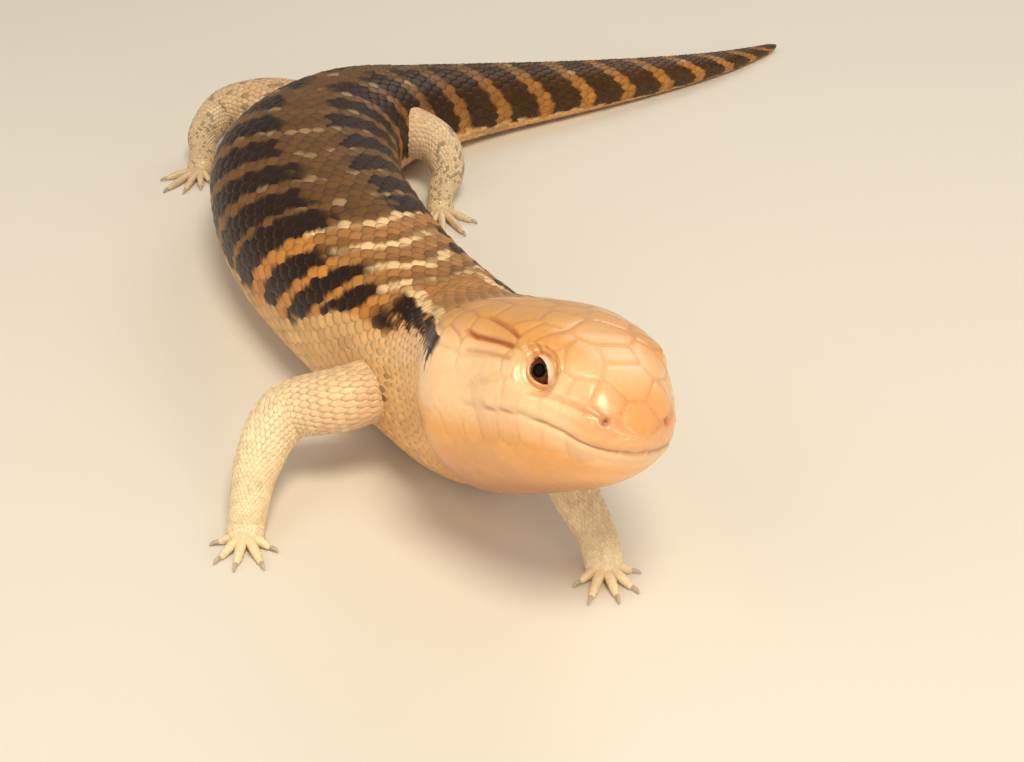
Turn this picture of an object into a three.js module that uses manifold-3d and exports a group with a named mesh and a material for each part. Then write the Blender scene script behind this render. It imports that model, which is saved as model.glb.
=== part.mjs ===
import * as THREE from 'three';
import { mergeVertices } from 'three/addons/utils/BufferGeometryUtils.js';
import Module from 'manifold-3d';

const wasm = await Module();
wasm.setup();

// Blue tongued skink, adult, resting with its head raised. Millimetres, +Z up, floor at z = 0.
// Lengths along the body run from the snout tip (0) to the tail tip.
const TOTAL_LENGTH = 500;
const SNOUT = new THREE.Vector3(59.6, -154.6, 56);
const CENTRE = new THREE.Vector2(28.27, 39.04);
const SNOUT_ROUNDING = 6;
const TIP_ROUNDING = 6;
const PART_GAP = 0.3;
const END_STOPS = [0.25, 0.65];
const FLOOR = 0;
const LEAST_LEVEL = 0.05;

// Rings along each length and points round it; rings crowd together at the snout and the tail tip.
const ROWS = { head: 32, neck: 6, chest: 9, trunk: 9, hips: 14, tail_base: 10, tail_tip: 14 };
const ROUND = { body: 40, tail_base: 32, tail_tip: 28 };
const SNOUT_CROWDING = 1.35;
const TIP_CROWDING = 1.25;
const FIRST_RING = 0.12;
const LAST_RING = 0.1;

// Places along the body where one length ends and the next begins.
const HEAD_END = 63;
const NECK_END = 84;
const CHEST_END = 140;
const TRUNK_END = 212;
const HIP_END = 316;
const TAIL_MIDDLE = 400;

// Direction the body faces at each place, degrees from +X.
const HEADING = {
  at: [0, 60, 90, 150, 195, 220, 245, 272, 300, 330, 370, 430, 500],
  is: [-62.5, -62, -61, -66, -72, -80, -92, -112, -131, -144, -150, -146, -128],
};
// Height of the body's middle line.
const MIDDLE = {
  at: [0, 20, 60, 84, 130, 180, 240, 286, 318, 360, 420, 500],
  is: [56, 52, 44, 34, 27, 23.5, 21.5, 19.5, 16, 12.2, 7.6, 1.8],
};
// Turn about the body's own line, degrees, left side up.
const ROLL = { at: [0, 45, 85, 120], is: [-15, -14, -4, 0] };
const HALF_WIDTH = {
  at: [0, 3, 8, 14, 19, 28, 36, 43, 49, 56, 64, 74, 90, 115, 150, 190, 230, 262, 286, 310, 340, 390, 440,
    485, 500],
  is: [8.4, 10.4, 13.1, 16.5, 18.9, 21.6, 22.8, 24.3, 25.2, 23.8, 21.2, 20.8, 22, 23.8, 27, 30, 30.5, 27.5,
    24.2, 19.5, 15.5, 11.6, 7.4, 3.3, 1.8],
};
const RISE = {
  at: [0, 3, 8, 14, 20, 30, 40, 52, 62, 84, 120, 170, 220, 262, 286, 318, 360, 420, 470, 500],
  is: [5, 7.4, 11.2, 14.6, 16.8, 18.2, 18.0, 16.2, 14.8, 18, 21.4, 23, 22.5, 20.5, 18.5, 14.6, 11, 7, 3.8,
    1.6],
};
const DROP = {
  at: [0, 3, 8, 14, 24, 34, 44, 56, 66, 84, 110, 150, 180, 240, 286, 318, 360, 420, 470, 500],
  is: [6, 8.5, 12.5, 16, 20.6, 25, 28.6, 31, 31.5, 31.5, 28, 25.4, 24.6, 22.2, 20.2, 16.8, 13, 8.4, 4.6,
    2.2],
};
const UPPER_SQUARENESS = {
  at: [0, 8, 20, 32, 50, 84, 150, 318, 500],
  is: [2.3, 2.6, 2.8, 2.7, 2.5, 2.2, 2.1, 2, 2],
};
const LOWER_SQUARENESS = { at: [0, 20, 50, 84, 150, 318, 500], is: [2.1, 2.2, 2.2, 2.3, 2.7, 2.3, 2] };

// Swellings of the surface: place, spread along, angle round from the top, spread round, height.
const SWELLINGS = [
  { at: 18, along: 6, round: 0.95, across: 0.32, high: 1.1 },
  { at: 46, along: 9, round: 1.75, across: 0.45, high: 1.6 },
  { at: 42, along: 12, round: 0.85, across: 0.3, high: 0.8 },
  { at: 10, along: 5, round: 1.0, across: 0.3, high: -0.7 },
  { at: 14, along: 14, round: 1.46, across: 0.14, high: 0.6 },
];

// Head features, in the head's own directions: back from the snout, out to the side, up.
const EYE = { back: 19.3, side: 12.3, up: 7.6, radius: 3.9 };
const LID_RADIUS = 4.8;
const LID_OUT = 0.2;
const LID_DEEP = 0.86;
const LID_TALL = 0.92;
const EYE_LOOKS_UP = 0.42;
const EYE_LOOKS_AHEAD = 0.22;
const EYE_SLIT = { half_length: 3.1, half_height: 2.6 };
const EYE_CLEAR = 0.12;
const EAR = { back: 58.5, side: 23, up: -6, long: 3.2, tall: 1.5, deep: 3 };
const NOSTRIL = { back: 2.9, side: 6.6, up: 1.8, radius: 0.95, deep: 1.42 };
const MOUTH = {
  back: [-3, 0, 2.5, 5, 8.2, 12.5, 18.2, 24, 30.3, 38.2, 42.2],
  up: [-4, -4, -3.6, -2.8, -1.7, -0.8, -0.7, -1.5, -2.6, -3.9, -4.3],
};
const JAW_HINGE = { back: 49, up: -6.5 };
const JAW_REAR = { back: 57, up: -40 };
const LIP_GAP = 0.35;
const MOUTH_LEVEL_AT = 20;
const MOUTH_REACH = 45;
const EYE_SEGMENTS = 14;
const EYE_BANDS = 10;
const NOSTRIL_SEGMENTS = 12;
const NOSTRIL_BANDS = 8;

// Legs stop short of the body's skin, and end at a wrist or ankle.
const CLEAR_OF_BODY = 0.3;
const CLEARED = { from: 40, to: 320, rows: 44 };
const WRIST_BLOCK = 40;
const LEG_SIDES = 12;
const TOE_SIDES = 6;
const CLAW_SIDES = 5;
const LEG_SPAN_ROWS = 3;
const FOOT_SPAN_ROWS = 2;
const CLAW_SPAN_ROWS = 1;

function curve(table, x) {
  const xs = table.at;
  const ys = table.is;
  const n = xs.length;
  const t0 = Math.min(Math.max(x, xs[0]), xs[n - 1]);
  const slope = (i) => (ys[i + 1] - ys[i]) / (xs[i + 1] - xs[i]);
  const tangent = (i) => {
    if (i === 0) return slope(0);
    if (i === n - 1) return slope(n - 2);
    const a = slope(i - 1);
    const b = slope(i);
    return a * b <= 0 ? 0 : (2 * a * b) / (a + b);
  };
  let i = 0;
  while (i < n - 2 && xs[i + 1] <= t0) i += 1;
  const h = xs[i + 1] - xs[i];
  const t = (t0 - xs[i]) / h;
  return ys[i] * (1 + 2 * t) * (1 - t) ** 2 + tangent(i) * h * t * (1 - t) ** 2
    + ys[i + 1] * t * t * (3 - 2 * t) + tangent(i + 1) * h * t * t * (t - 1);
}

const radians = THREE.MathUtils.degToRad;
const at = (x, y, z) => new THREE.Vector3(x, y, z);
const SPINE_STEP = 1;

// The middle line is walked backwards from the snout in small steps.
const spine = [];
{
  const count = Math.round(TOTAL_LENGTH / SPINE_STEP);
  const heights = [];
  for (let i = 0; i <= count; i += 1) heights.push(curve(MIDDLE, i * SPINE_STEP));
  let x = SNOUT.x;
  let y = SNOUT.y;
  let before = null;
  for (let i = 0; i <= count; i += 1) {
    const s = i * SPINE_STEP;
    const lo = Math.max(i - 1, 0);
    const hi = Math.min(i + 1, count);
    const fall = (heights[hi] - heights[lo]) / ((hi - lo) * SPINE_STEP);
    const level = Math.sqrt(Math.max(1 - fall * fall, LEAST_LEVEL));
    const turn = radians(curve(HEADING, s));
    const step = new THREE.Vector2(Math.cos(turn) * level, Math.sin(turn) * level);
    if (before) {
      x -= ((step.x + before.x) / 2) * SPINE_STEP;
      y -= ((step.y + before.y) / 2) * SPINE_STEP;
    }
    before = step;
    spine.push({ x, y, z: heights[i], turn, fall });
  }
}

function frameAt(s) {
  const u = Math.min(Math.max(s / SPINE_STEP, 0), spine.length - 1);
  const i = Math.min(Math.floor(u), spine.length - 2);
  const t = u - i;
  const mix = (key) => spine[i][key] * (1 - t) + spine[i + 1][key] * t;
  const fall = mix('fall');
  const turn = mix('turn');
  const level = Math.sqrt(Math.max(1 - fall * fall, LEAST_LEVEL));
  const centre = new THREE.Vector3(mix('x'), mix('y'), mix('z'));
  const ahead = new THREE.Vector3(Math.cos(turn) * level, Math.sin(turn) * level, -fall);
  const left = new THREE.Vector3(-Math.sin(turn), Math.cos(turn), 0);
  const up = new THREE.Vector3().crossVectors(ahead, left);
  left.applyAxisAngle(ahead, radians(curve(ROLL, s)));
  up.applyAxisAngle(ahead, radians(curve(ROLL, s)));
  return { centre, ahead, left, up };
}

// Distances out to the left and up of the skin, at an angle measured from the top to the left.
function skinOffset(s, angle, grow) {
  const front = Math.min(Math.max(1 - s / SNOUT_ROUNDING, 0), 1);
  const tip = Math.min(Math.max((TOTAL_LENGTH - s) / TIP_ROUNDING, 0), 1);
  const scale = Math.sqrt(1 - front * front) * Math.sqrt(tip);
  const sine = Math.sin(angle);
  const cosine = Math.cos(angle);
  const above = cosine >= 0;
  const square = above ? curve(UPPER_SQUARENESS, s) : curve(LOWER_SQUARENESS, s);
  const tall = above ? curve(RISE, s) : curve(DROP, s);
  const side = Math.sign(sine) * Math.abs(sine) ** (2 / square) * (curve(HALF_WIDTH, s) * scale + grow);
  const rise = Math.sign(cosine) * Math.abs(cosine) ** (2 / square) * (tall * scale + grow);
  const turned = Math.abs(Math.atan2(sine, cosine));
  let swell = 0;
  for (const w of SWELLINGS) {
    const a = (s - w.at) / w.along;
    const b = (turned - w.round) / w.across;
    swell += w.high * Math.exp(-a * a - b * b);
  }
  const out = Math.hypot(side, rise) || 1;
  const more = 1 + (swell * scale) / out;
  return { side: side * more, rise: rise * more };
}

function skinPoint(s, angle, grow = 0) {
  const f = frameAt(s);
  const o = skinOffset(s, angle, grow);
  const p = f.centre.clone().addScaledVector(f.left, o.side).addScaledVector(f.up, o.rise);
  p.z = Math.max(p.z, FLOOR);
  return p;
}

function inHead(back, side, up) {
  const f = frameAt(back);
  return f.centre.clone().addScaledVector(f.left, side).addScaledVector(f.up, up);
}

function closedRings(rings) {
  const round = rings[0].length;
  const positions = [];
  for (const ring of rings) for (const p of ring) positions.push(p.x, p.y, p.z);
  const middle = (ring) => {
    const c = new THREE.Vector3();
    for (const p of ring) c.add(p);
    return c.divideScalar(round);
  };
  const first = positions.length / 3;
  const a = middle(rings[0]);
  const b = middle(rings[rings.length - 1]);
  positions.push(a.x, a.y, a.z, b.x, b.y, b.z);
  const index = [];
  for (let i = 0; i < rings.length - 1; i += 1) {
    for (let j = 0; j < round; j += 1) {
      const k = (j + 1) % round;
      const p = i * round + j;
      const q = i * round + k;
      index.push(p, q, q + round, p, q + round, p + round);
    }
  }
  const last = (rings.length - 1) * round;
  for (let j = 0; j < round; j += 1) {
    const k = (j + 1) % round;
    index.push(first, k, j);
    index.push(first + 1, last + j, last + k);
  }
  const geometry = new THREE.BufferGeometry();
  geometry.setAttribute('position', new THREE.Float32BufferAttribute(positions, 3));
  geometry.setIndex(index);
  return geometry;
}

function toSolid(geometry) {
  const g = geometry.clone();
  g.deleteAttribute('normal');
  g.deleteAttribute('uv');
  const merged = mergeVertices(g, 1e-4);
  const make = (flip) => {
    const tri = Uint32Array.from(merged.index.array);
    if (flip) {
      for (let i = 0; i < tri.length; i += 3) {
        const t = tri[i + 1];
        tri[i + 1] = tri[i + 2];
        tri[i + 2] = t;
      }
    }
    return new wasm.Manifold(new wasm.Mesh({
      numProp: 3,
      vertProperties: Float32Array.from(merged.attributes.position.array),
      triVerts: tri,
    }));
  };
  const solid = make(false);
  return solid.volume() > 0 ? solid : make(true);
}

function toGeometry(solid) {
  const mesh = solid.getMesh();
  const geometry = new THREE.BufferGeometry();
  const points = Float32Array.from(mesh.vertProperties);
  geometry.setAttribute('position', new THREE.Float32BufferAttribute(points, 3));
  geometry.setIndex(Array.from(mesh.triVerts));
  return mergeVertices(geometry, 1e-3);
}

function largest(solid) {
  const pieces = solid.decompose();
  pieces.sort((p, q) => q.volume() - p.volume());
  return pieces[0];
}

// A length of the body between two places, closed by flat ends.
function bodyLength(from, to, rows, round, grow = 0) {
  const rings = [];
  for (let i = 0; i <= rows; i += 1) {
    let u = i / rows;
    if (from === 0) u = u ** SNOUT_CROWDING;
    if (to === TOTAL_LENGTH) u = 1 - (1 - u) ** TIP_CROWDING;
    let s = from + (to - from) * u;
    if (from === 0 && i === 0) s = FIRST_RING;
    if (to === TOTAL_LENGTH && i === rows) s = TOTAL_LENGTH - LAST_RING;
    const ring = [];
    for (let j = 0; j < round; j += 1) ring.push(skinPoint(s, (j / round) * Math.PI * 2, grow));
    rings.push(ring);
  }
  return toSolid(closedRings(rings));
}

function ellipsoid(centre, frame, radii, segments, bands) {
  const g = new THREE.SphereGeometry(1, segments, bands);
  const m = new THREE.Matrix4().makeBasis(frame.ahead, frame.left, frame.up);
  m.setPosition(centre);
  g.scale(radii[0], radii[1], radii[2]);
  g.applyMatrix4(m);
  return toSolid(g);
}

// A limb or toe: rings round a smooth path, with rounded ends.
function limb(points, radii, sides, perSpan, flatten = 1) {
  const path = new THREE.CatmullRomCurve3(points, false, 'centripetal');
  const spans = points.length - 1;
  const steps = spans * perSpan;
  const radiusTable = { at: radii.map((r, i) => i / spans), is: radii };
  const rings = [];
  const length = path.getLength();
  const startCap = radii[0] / length;
  const endCap = radii[radii.length - 1] / length;
  const stops = [];
  for (const a of END_STOPS) {
    stops.push({ t: startCap * (1 - Math.cos(a * Math.PI * 0.5)), k: Math.sin(a * Math.PI * 0.5) });
  }
  for (let i = 0; i <= steps; i += 1) {
    const t = startCap + (1 - startCap - endCap) * (i / steps);
    stops.push({ t, k: 1 });
  }
  for (const a of [...END_STOPS].reverse()) {
    stops.push({ t: 1 - endCap * (1 - Math.cos(a * Math.PI * 0.5)), k: Math.sin(a * Math.PI * 0.5) });
  }
  for (const { t, k } of stops) {
    const u = Math.min(Math.max(t, 0), 1);
    const p = path.getPoint(u);
    const ahead = path.getTangent(u);
    const side = new THREE.Vector3(-ahead.y, ahead.x, 0);
    if (side.length() < 1e-3) side.set(1, 0, 0);
    side.normalize();
    const up = new THREE.Vector3().crossVectors(ahead, side);
    const r = curve(radiusTable, u) * k;
    const ring = [];
    for (let j = 0; j < sides; j += 1) {
      const a = (j / sides) * Math.PI * 2;
      const q = p.clone().addScaledVector(side, Math.sin(a) * r).addScaledVector(up, Math.cos(a) * r * flatten);
      q.z = Math.max(q.z, FLOOR);
      ring.push(q);
    }
    rings.push(ring);
  }
  return toSolid(closedRings(rings));
}

// The head, with sockets, lids, nostrils, ears and the line of the mouth.
const headFrame = frameAt(EYE.back);
let headSolid = bodyLength(0, HEAD_END - PART_GAP / 2, ROWS.head, ROUND.body);
const eyes = {};
for (const [name, hand] of [['left', 1], ['right', -1]]) {
  const centre = inHead(EYE.back, EYE.side * hand, EYE.up);
  const outward = headFrame.left.clone().multiplyScalar(hand)
    .addScaledVector(headFrame.up, EYE_LOOKS_UP).addScaledVector(headFrame.ahead, EYE_LOOKS_AHEAD).normalize();
  const ahead = headFrame.ahead.clone().addScaledVector(outward, -headFrame.ahead.dot(outward)).normalize();
  const up = new THREE.Vector3().crossVectors(ahead, outward);
  const eyeFrame = { ahead, left: outward, up };
  const lid = ellipsoid(centre.clone().addScaledVector(outward, LID_OUT), eyeFrame,
    [LID_RADIUS, LID_RADIUS * LID_DEEP, LID_RADIUS * LID_TALL], EYE_SEGMENTS, EYE_BANDS);
  const ball = ellipsoid(centre, eyeFrame, [EYE.radius, EYE.radius, EYE.radius], EYE_SEGMENTS, EYE_BANDS);
  const room = EYE.radius + EYE_CLEAR;
  const socket = ellipsoid(centre, eyeFrame, [room, room, room], EYE_SEGMENTS, EYE_BANDS);
  const opening = ellipsoid(centre.clone().addScaledVector(outward, room), eyeFrame,
    [EYE_SLIT.half_length, room, EYE_SLIT.half_height], EYE_SEGMENTS, EYE_BANDS);
  headSolid = headSolid.add(lid).subtract(socket.add(opening));
  eyes[name] = ball;
}
for (const hand of [1, -1]) {
  const f = frameAt(EAR.back);
  headSolid = headSolid.subtract(ellipsoid(inHead(EAR.back, EAR.side * hand, EAR.up), f,
    [EAR.long, EAR.deep, EAR.tall], EYE_SEGMENTS, EYE_BANDS));
  const n = frameAt(NOSTRIL.back);
  headSolid = headSolid.subtract(ellipsoid(inHead(NOSTRIL.back, NOSTRIL.side * hand, NOSTRIL.up), n,
    [NOSTRIL.radius, NOSTRIL.deep, NOSTRIL.radius], NOSTRIL_SEGMENTS, NOSTRIL_BANDS));
}

// A thin sheet through the head along the mouth, down behind the hinge of the jaw.
function mouthSheet() {
  const line = [];
  for (let i = 0; i < MOUTH.back.length; i += 1) line.push([MOUTH.back[i], MOUTH.up[i]]);
  line.push([JAW_HINGE.back, JAW_HINGE.up]);
  line.push([JAW_REAR.back, JAW_REAR.up]);
  const path = line.map(([b, u]) => new THREE.Vector2(b, u));
  const shape = new THREE.Shape();
  const upper = [];
  const lower = [];
  for (let i = 0; i < path.length; i += 1) {
    const a = path[Math.max(i - 1, 0)];
    const b = path[Math.min(i + 1, path.length - 1)];
    const along = b.clone().sub(a).normalize();
    const across = new THREE.Vector2(-along.y, along.x).multiplyScalar(LIP_GAP / 2);
    upper.push(path[i].clone().add(across));
    lower.push(path[i].clone().sub(across));
  }
  shape.setFromPoints([...upper, ...lower.reverse()]);
  const g = new THREE.ExtrudeGeometry(shape, { depth: MOUTH_REACH * 2, bevelEnabled: false, steps: 1 });
  const f = frameAt(MOUTH_LEVEL_AT);
  const m = new THREE.Matrix4().makeBasis(f.ahead.clone().negate(), f.up, f.left.clone());
  const start = frameAt(0).centre.clone();
  m.setPosition(start.addScaledVector(f.left, -MOUTH_REACH));
  g.applyMatrix4(m);
  return toSolid(g);
}
const split = headSolid.subtract(mouthSheet()).decompose();
split.sort((p, q) => q.volume() - p.volume());

const slabs = {
  head: split[0],
  lower_jaw: split[1],
  neck: bodyLength(HEAD_END + PART_GAP / 2, NECK_END - PART_GAP / 2, ROWS.neck, ROUND.body),
  chest: bodyLength(NECK_END + PART_GAP / 2, CHEST_END - PART_GAP / 2, ROWS.chest, ROUND.body),
  trunk: bodyLength(CHEST_END + PART_GAP / 2, TRUNK_END - PART_GAP / 2, ROWS.trunk, ROUND.body),
  hips: bodyLength(TRUNK_END + PART_GAP / 2, HIP_END - PART_GAP / 2, ROWS.hips, ROUND.body),
  tail_base: bodyLength(HIP_END + PART_GAP / 2, TAIL_MIDDLE - PART_GAP / 2, ROWS.tail_base,
    ROUND.tail_base),
  tail_tip: bodyLength(TAIL_MIDDLE + PART_GAP / 2, TOTAL_LENGTH, ROWS.tail_tip, ROUND.tail_tip),
};

// Each foot: the wrist or ankle, the palm, and toes fanned about the way the foot points.
const LEGS = {
  left_foreleg: {
    joints: [at(32, -80, 24), at(42, -90, 25), at(44, -103, 22), at(49, -114, 13.5), at(53.6, -121.2, 7.2)],
    radii: [8, 8.2, 7.4, 5.9, 4.9],
    foot: {
      wrist: at(54, -122, 6.2), palm: at(55.2, -126, 2.9), points: -76, wrist_radius: 4.6,
      palm_radius: 4.7,
      toes: [[-64, 7.6], [-32, 11.1], [0, 10.4], [28, 9.4], [70, 6.6]],
    },
  },
  right_foreleg: {
    joints: [at(9, -80, 26), at(-7, -88, 24), at(-22, -89, 20), at(-28, -100, 12), at(-29, -109, 7)],
    radii: [8, 8.2, 7.4, 5.9, 4.9],
    foot: {
      wrist: at(-29.2, -110, 6), palm: at(-29.6, -114, 2.8), points: -95, wrist_radius: 4.6,
      palm_radius: 4.7,
      toes: [[-70, 6.6], [-28, 9.4], [0, 10.4], [32, 11.1], [64, 7.6]],
    },
  },
  left_hindleg: {
    joints: [at(-24, 104, 20), at(-8, 100, 19), at(8, 92, 16), at(12, 82, 10), at(10, 74, 6)],
    radii: [9, 9.4, 7.6, 5.8, 4.6],
    foot: {
      wrist: at(9.8, 73.3, 5), palm: at(9.8, 68.5, 2.8), points: -84, wrist_radius: 4.4,
      palm_radius: 4.6,
      toes: [[-40, 9], [-20, 12.5], [0, 15.5], [22, 17], [54, 12.5]],
    },
  },
  right_hindleg: {
    joints: [at(-34, 112, 20), at(-52, 122, 19), at(-70, 126, 15), at(-77, 117, 9), at(-76, 108, 6)],
    radii: [9, 9.4, 7.6, 5.8, 4.6],
    foot: {
      wrist: at(-76, 107.3, 5), palm: at(-76.6, 102.5, 2.8), points: -100, wrist_radius: 4.4,
      palm_radius: 4.6,
      toes: [[-54, 12.5], [-22, 17], [0, 15.5], [20, 12.5], [40, 9]],
    },
  },
};
const TOE_RADIUS = 1.35;
const KNUCKLE_RADIUS = 1.3;
const TOE_END_RADIUS = 0.85;
const CLAW_RADIUS = 0.55;
const CLAW_MIDDLE_RADIUS = 0.46;
const CLAW_TIP_RADIUS = 0.2;
const CLAW_LENGTH = 2.1;
const CLAW_ROOT = 0.6;
const PALM_END = { ahead: 3.6, high: 2.2, radius: 3.6 };
const PALM_FLATNESS = 0.85;
const TOE_ROOT = { ahead: 1.8, high: 2.1 };
const KNUCKLE = { share: 0.55, high: 1.75 };
const TOE_END_HIGH = 0.86;
const CLAW_HIGH = { root: 1.05, middle: 1.05, tip: 0.36 };

function footSolid(foot, lastJoint) {
  const turn = radians(foot.points);
  const ahead = at(Math.cos(turn), Math.sin(turn), 0);
  const palmEnd = foot.palm.clone().addScaledVector(ahead, PALM_END.ahead).setZ(PALM_END.high);
  const start = lastJoint.clone().add(lastJoint.clone().sub(foot.wrist));
  let solid = limb([start, foot.wrist, foot.palm, palmEnd],
    [foot.wrist_radius, foot.wrist_radius, foot.palm_radius, PALM_END.radius], LEG_SIDES, FOOT_SPAN_ROWS,
    PALM_FLATNESS);
  for (const [angle, reach] of foot.toes) {
    const t = radians(foot.points + angle);
    const way = at(Math.cos(t), Math.sin(t), 0);
    const along = (reached) => foot.palm.clone().addScaledVector(way, reached);
    const root = along(TOE_ROOT.ahead).setZ(TOE_ROOT.high);
    const knuckle = along(reach * KNUCKLE.share).setZ(KNUCKLE.high);
    const tip = along(reach).setZ(TOE_END_HIGH);
    solid = solid.add(limb([root, knuckle, tip], [TOE_RADIUS, KNUCKLE_RADIUS, TOE_END_RADIUS],
      TOE_SIDES, FOOT_SPAN_ROWS));
    const clawRoot = along(reach - CLAW_ROOT).setZ(CLAW_HIGH.root);
    const clawMiddle = along(reach + CLAW_LENGTH / 2).setZ(CLAW_HIGH.middle);
    const clawTip = along(reach + CLAW_LENGTH).setZ(CLAW_HIGH.tip);
    solid = solid.add(limb([clawRoot, clawMiddle, clawTip],
      [CLAW_RADIUS, CLAW_MIDDLE_RADIUS, CLAW_TIP_RADIUS], CLAW_SIDES, CLAW_SPAN_ROWS));
  }
  return largest(solid);
}

const cleared = bodyLength(CLEARED.from, CLEARED.to, CLEARED.rows, ROUND.body, CLEAR_OF_BODY);
for (const [name, leg] of Object.entries(LEGS)) {
  const lastJoint = leg.joints[leg.joints.length - 1];
  const upper = limb([...leg.joints, leg.foot.palm], [...leg.radii, leg.foot.wrist_radius], LEG_SIDES,
    LEG_SPAN_ROWS);
  const foot = footSolid(leg.foot, lastJoint);
  // Two blocks either side of the wrist keep leg and foot apart.
  const z = lastJoint.clone().sub(leg.foot.palm).normalize();
  const x = at(0, 0, 1).cross(z).normalize();
  const y = new THREE.Vector3().crossVectors(z, x);
  const block = (shift) => {
    const turned = new THREE.Matrix4().makeBasis(x, y, z);
    turned.setPosition(leg.foot.wrist.clone().addScaledVector(z, shift));
    return toSolid(new THREE.BoxGeometry(WRIST_BLOCK, WRIST_BLOCK, WRIST_BLOCK).applyMatrix4(turned));
  };
  const shift = (WRIST_BLOCK - PART_GAP) / 2;
  slabs[name] = largest(upper.subtract(cleared).subtract(block(-shift)));
  slabs[name.replace('leg', 'foot')] = largest(foot.subtract(block(shift)).subtract(cleared));
}
slabs.eye_left = eyes.left;
slabs.eye_right = eyes.right;

const COLOURS = {
  head: 0xdcab72, lower_jaw: 0xe6b988, neck: 0xd3a071, chest: 0xa97c50, trunk: 0x96704b,
  hips: 0x8a684a, tail_base: 0x86654a, tail_tip: 0x7c5f48, left_foreleg: 0xc9b79c,
  right_foreleg: 0xc9b79c, left_hindleg: 0xa58b6c, right_hindleg: 0xa58b6c, left_forefoot: 0xcfc0ab,
  right_forefoot: 0xcfc0ab, left_hindfoot: 0xb8a78f, right_hindfoot: 0xb8a78f, eye_left: 0x2c1a12,
  eye_right: 0x2c1a12,
};
const SKIN_ROUGHNESS = 0.5;
const EYE_ROUGHNESS = 0.08;

const group = new THREE.Group();
group.name = 'blue_tongued_skink';
for (const [name, solid] of Object.entries(slabs)) {
  const geometry = toGeometry(solid);
  geometry.translate(-CENTRE.x, -CENTRE.y, 0);
  const eye = name.startsWith('eye');
  const material = new THREE.MeshStandardMaterial({
    color: COLOURS[name], roughness: eye ? EYE_ROUGHNESS : SKIN_ROUGHNESS, metalness: 0,
  });
  const limbSkin = name.includes('leg') || name.includes('foot');
  const headSkin = name === 'head' || name === 'lower_jaw';
  material.name = eye ? 'eye' : (limbSkin ? 'limb_skin' : (headSkin ? 'head_skin' : 'body_skin'));
  const mesh = new THREE.Mesh(geometry, material);
  mesh.name = name;
  group.add(mesh);
}

export default group;
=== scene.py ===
import math
import bpy
import numpy as np
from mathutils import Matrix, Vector


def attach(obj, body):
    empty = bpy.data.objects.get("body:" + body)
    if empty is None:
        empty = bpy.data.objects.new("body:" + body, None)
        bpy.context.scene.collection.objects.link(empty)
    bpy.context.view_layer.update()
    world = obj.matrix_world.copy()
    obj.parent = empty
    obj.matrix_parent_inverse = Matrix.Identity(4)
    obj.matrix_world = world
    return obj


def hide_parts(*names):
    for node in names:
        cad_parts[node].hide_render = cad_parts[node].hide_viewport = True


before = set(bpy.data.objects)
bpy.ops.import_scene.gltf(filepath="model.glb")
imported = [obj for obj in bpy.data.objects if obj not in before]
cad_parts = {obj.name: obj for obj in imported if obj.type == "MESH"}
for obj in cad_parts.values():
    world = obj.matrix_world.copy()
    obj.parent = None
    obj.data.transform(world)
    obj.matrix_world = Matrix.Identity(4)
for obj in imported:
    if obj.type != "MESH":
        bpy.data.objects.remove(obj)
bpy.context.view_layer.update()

# Blue tongued skink. Millimetres here, turned to metres when a mesh is made.
MM = 0.001
TOTAL = 500.0
SNOUT = np.array([59.6, -154.6, 56.0])
CENTRE = np.array([28.27, 39.04, 0.0])
SNOUT_ROUNDING, TIP_ROUNDING = 6.0, 6.0
SKIN_INSET = -0.55
rng = np.random.default_rng(7)
# Nothing of the skin or the scales lies lower than this.
LOWEST, LOWEST_SCALE = 0.05, 0.02

HEADING = (
    [0, 60, 90, 150, 195, 220, 245, 272, 300, 330, 370, 430, 500],
    [-62.5, -62, -61, -66, -72, -80, -92, -112, -131, -144, -150, -146, -128])
MIDDLE = ([0, 20, 60, 84, 130, 180, 240, 286, 318, 360, 420, 500],
          [56, 52, 44, 34, 27, 23.5, 21.5, 19.5, 16, 12.2, 7.6, 1.8])
ROLL = ([0, 45, 85, 120], [-15, -14, -4, 0])
HALF_WIDTH = (
    [0, 3, 8, 14, 19, 28, 36, 43, 49, 56, 64, 74, 90, 115, 150, 190, 230, 262, 286, 310, 340, 390, 440,
     485, 500],
    [8.4, 10.4, 13.1, 16.5, 18.9, 21.6, 22.8, 24.3, 25.2, 23.8, 21.2, 20.8, 22, 23.8, 27, 30, 30.5,
     27.5, 24.2, 19.5, 15.5, 11.6, 7.4, 3.3, 1.8])
RISE = (
    [0, 3, 8, 14, 20, 30, 40, 52, 62, 84, 120, 170, 220, 262, 286, 318, 360, 420, 470, 500],
    [5, 7.4, 11.2, 14.6, 16.8, 18.2, 18.0, 16.2, 14.8, 18, 21.4, 23, 22.5, 20.5, 18.5, 14.6, 11, 7, 3.8,
     1.6])
DROP = (
    [0, 3, 8, 14, 24, 34, 44, 56, 66, 84, 110, 150, 180, 240, 286, 318, 360, 420, 470, 500],
    [6, 8.5, 12.5, 16, 20.6, 25, 28.6, 31, 31.5, 31.5, 28, 25.4, 24.6, 22.2, 20.2, 16.8, 13, 8.4, 4.6,
     2.2])
UPPER_SQUARE = (
    [0, 8, 20, 32, 50, 84, 150, 318, 500],
    [2.3, 2.6, 2.8, 2.7, 2.5, 2.2, 2.1, 2, 2])
LOWER_SQUARE = ([0, 20, 50, 84, 150, 318, 500], [2.1, 2.2, 2.2, 2.3, 2.7, 2.3, 2])
# Swellings of the skin: place, spread along, angle from the top, spread round, height.
SWELLINGS = [(18, 6, 0.95, 0.32, 1.1), (46, 9, 1.75, 0.45, 1.6), (42, 12, 0.85, 0.3, 0.8),
             (10, 5, 1.0, 0.3, -0.7), (14, 14, 1.46, 0.14, 0.6)]

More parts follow.
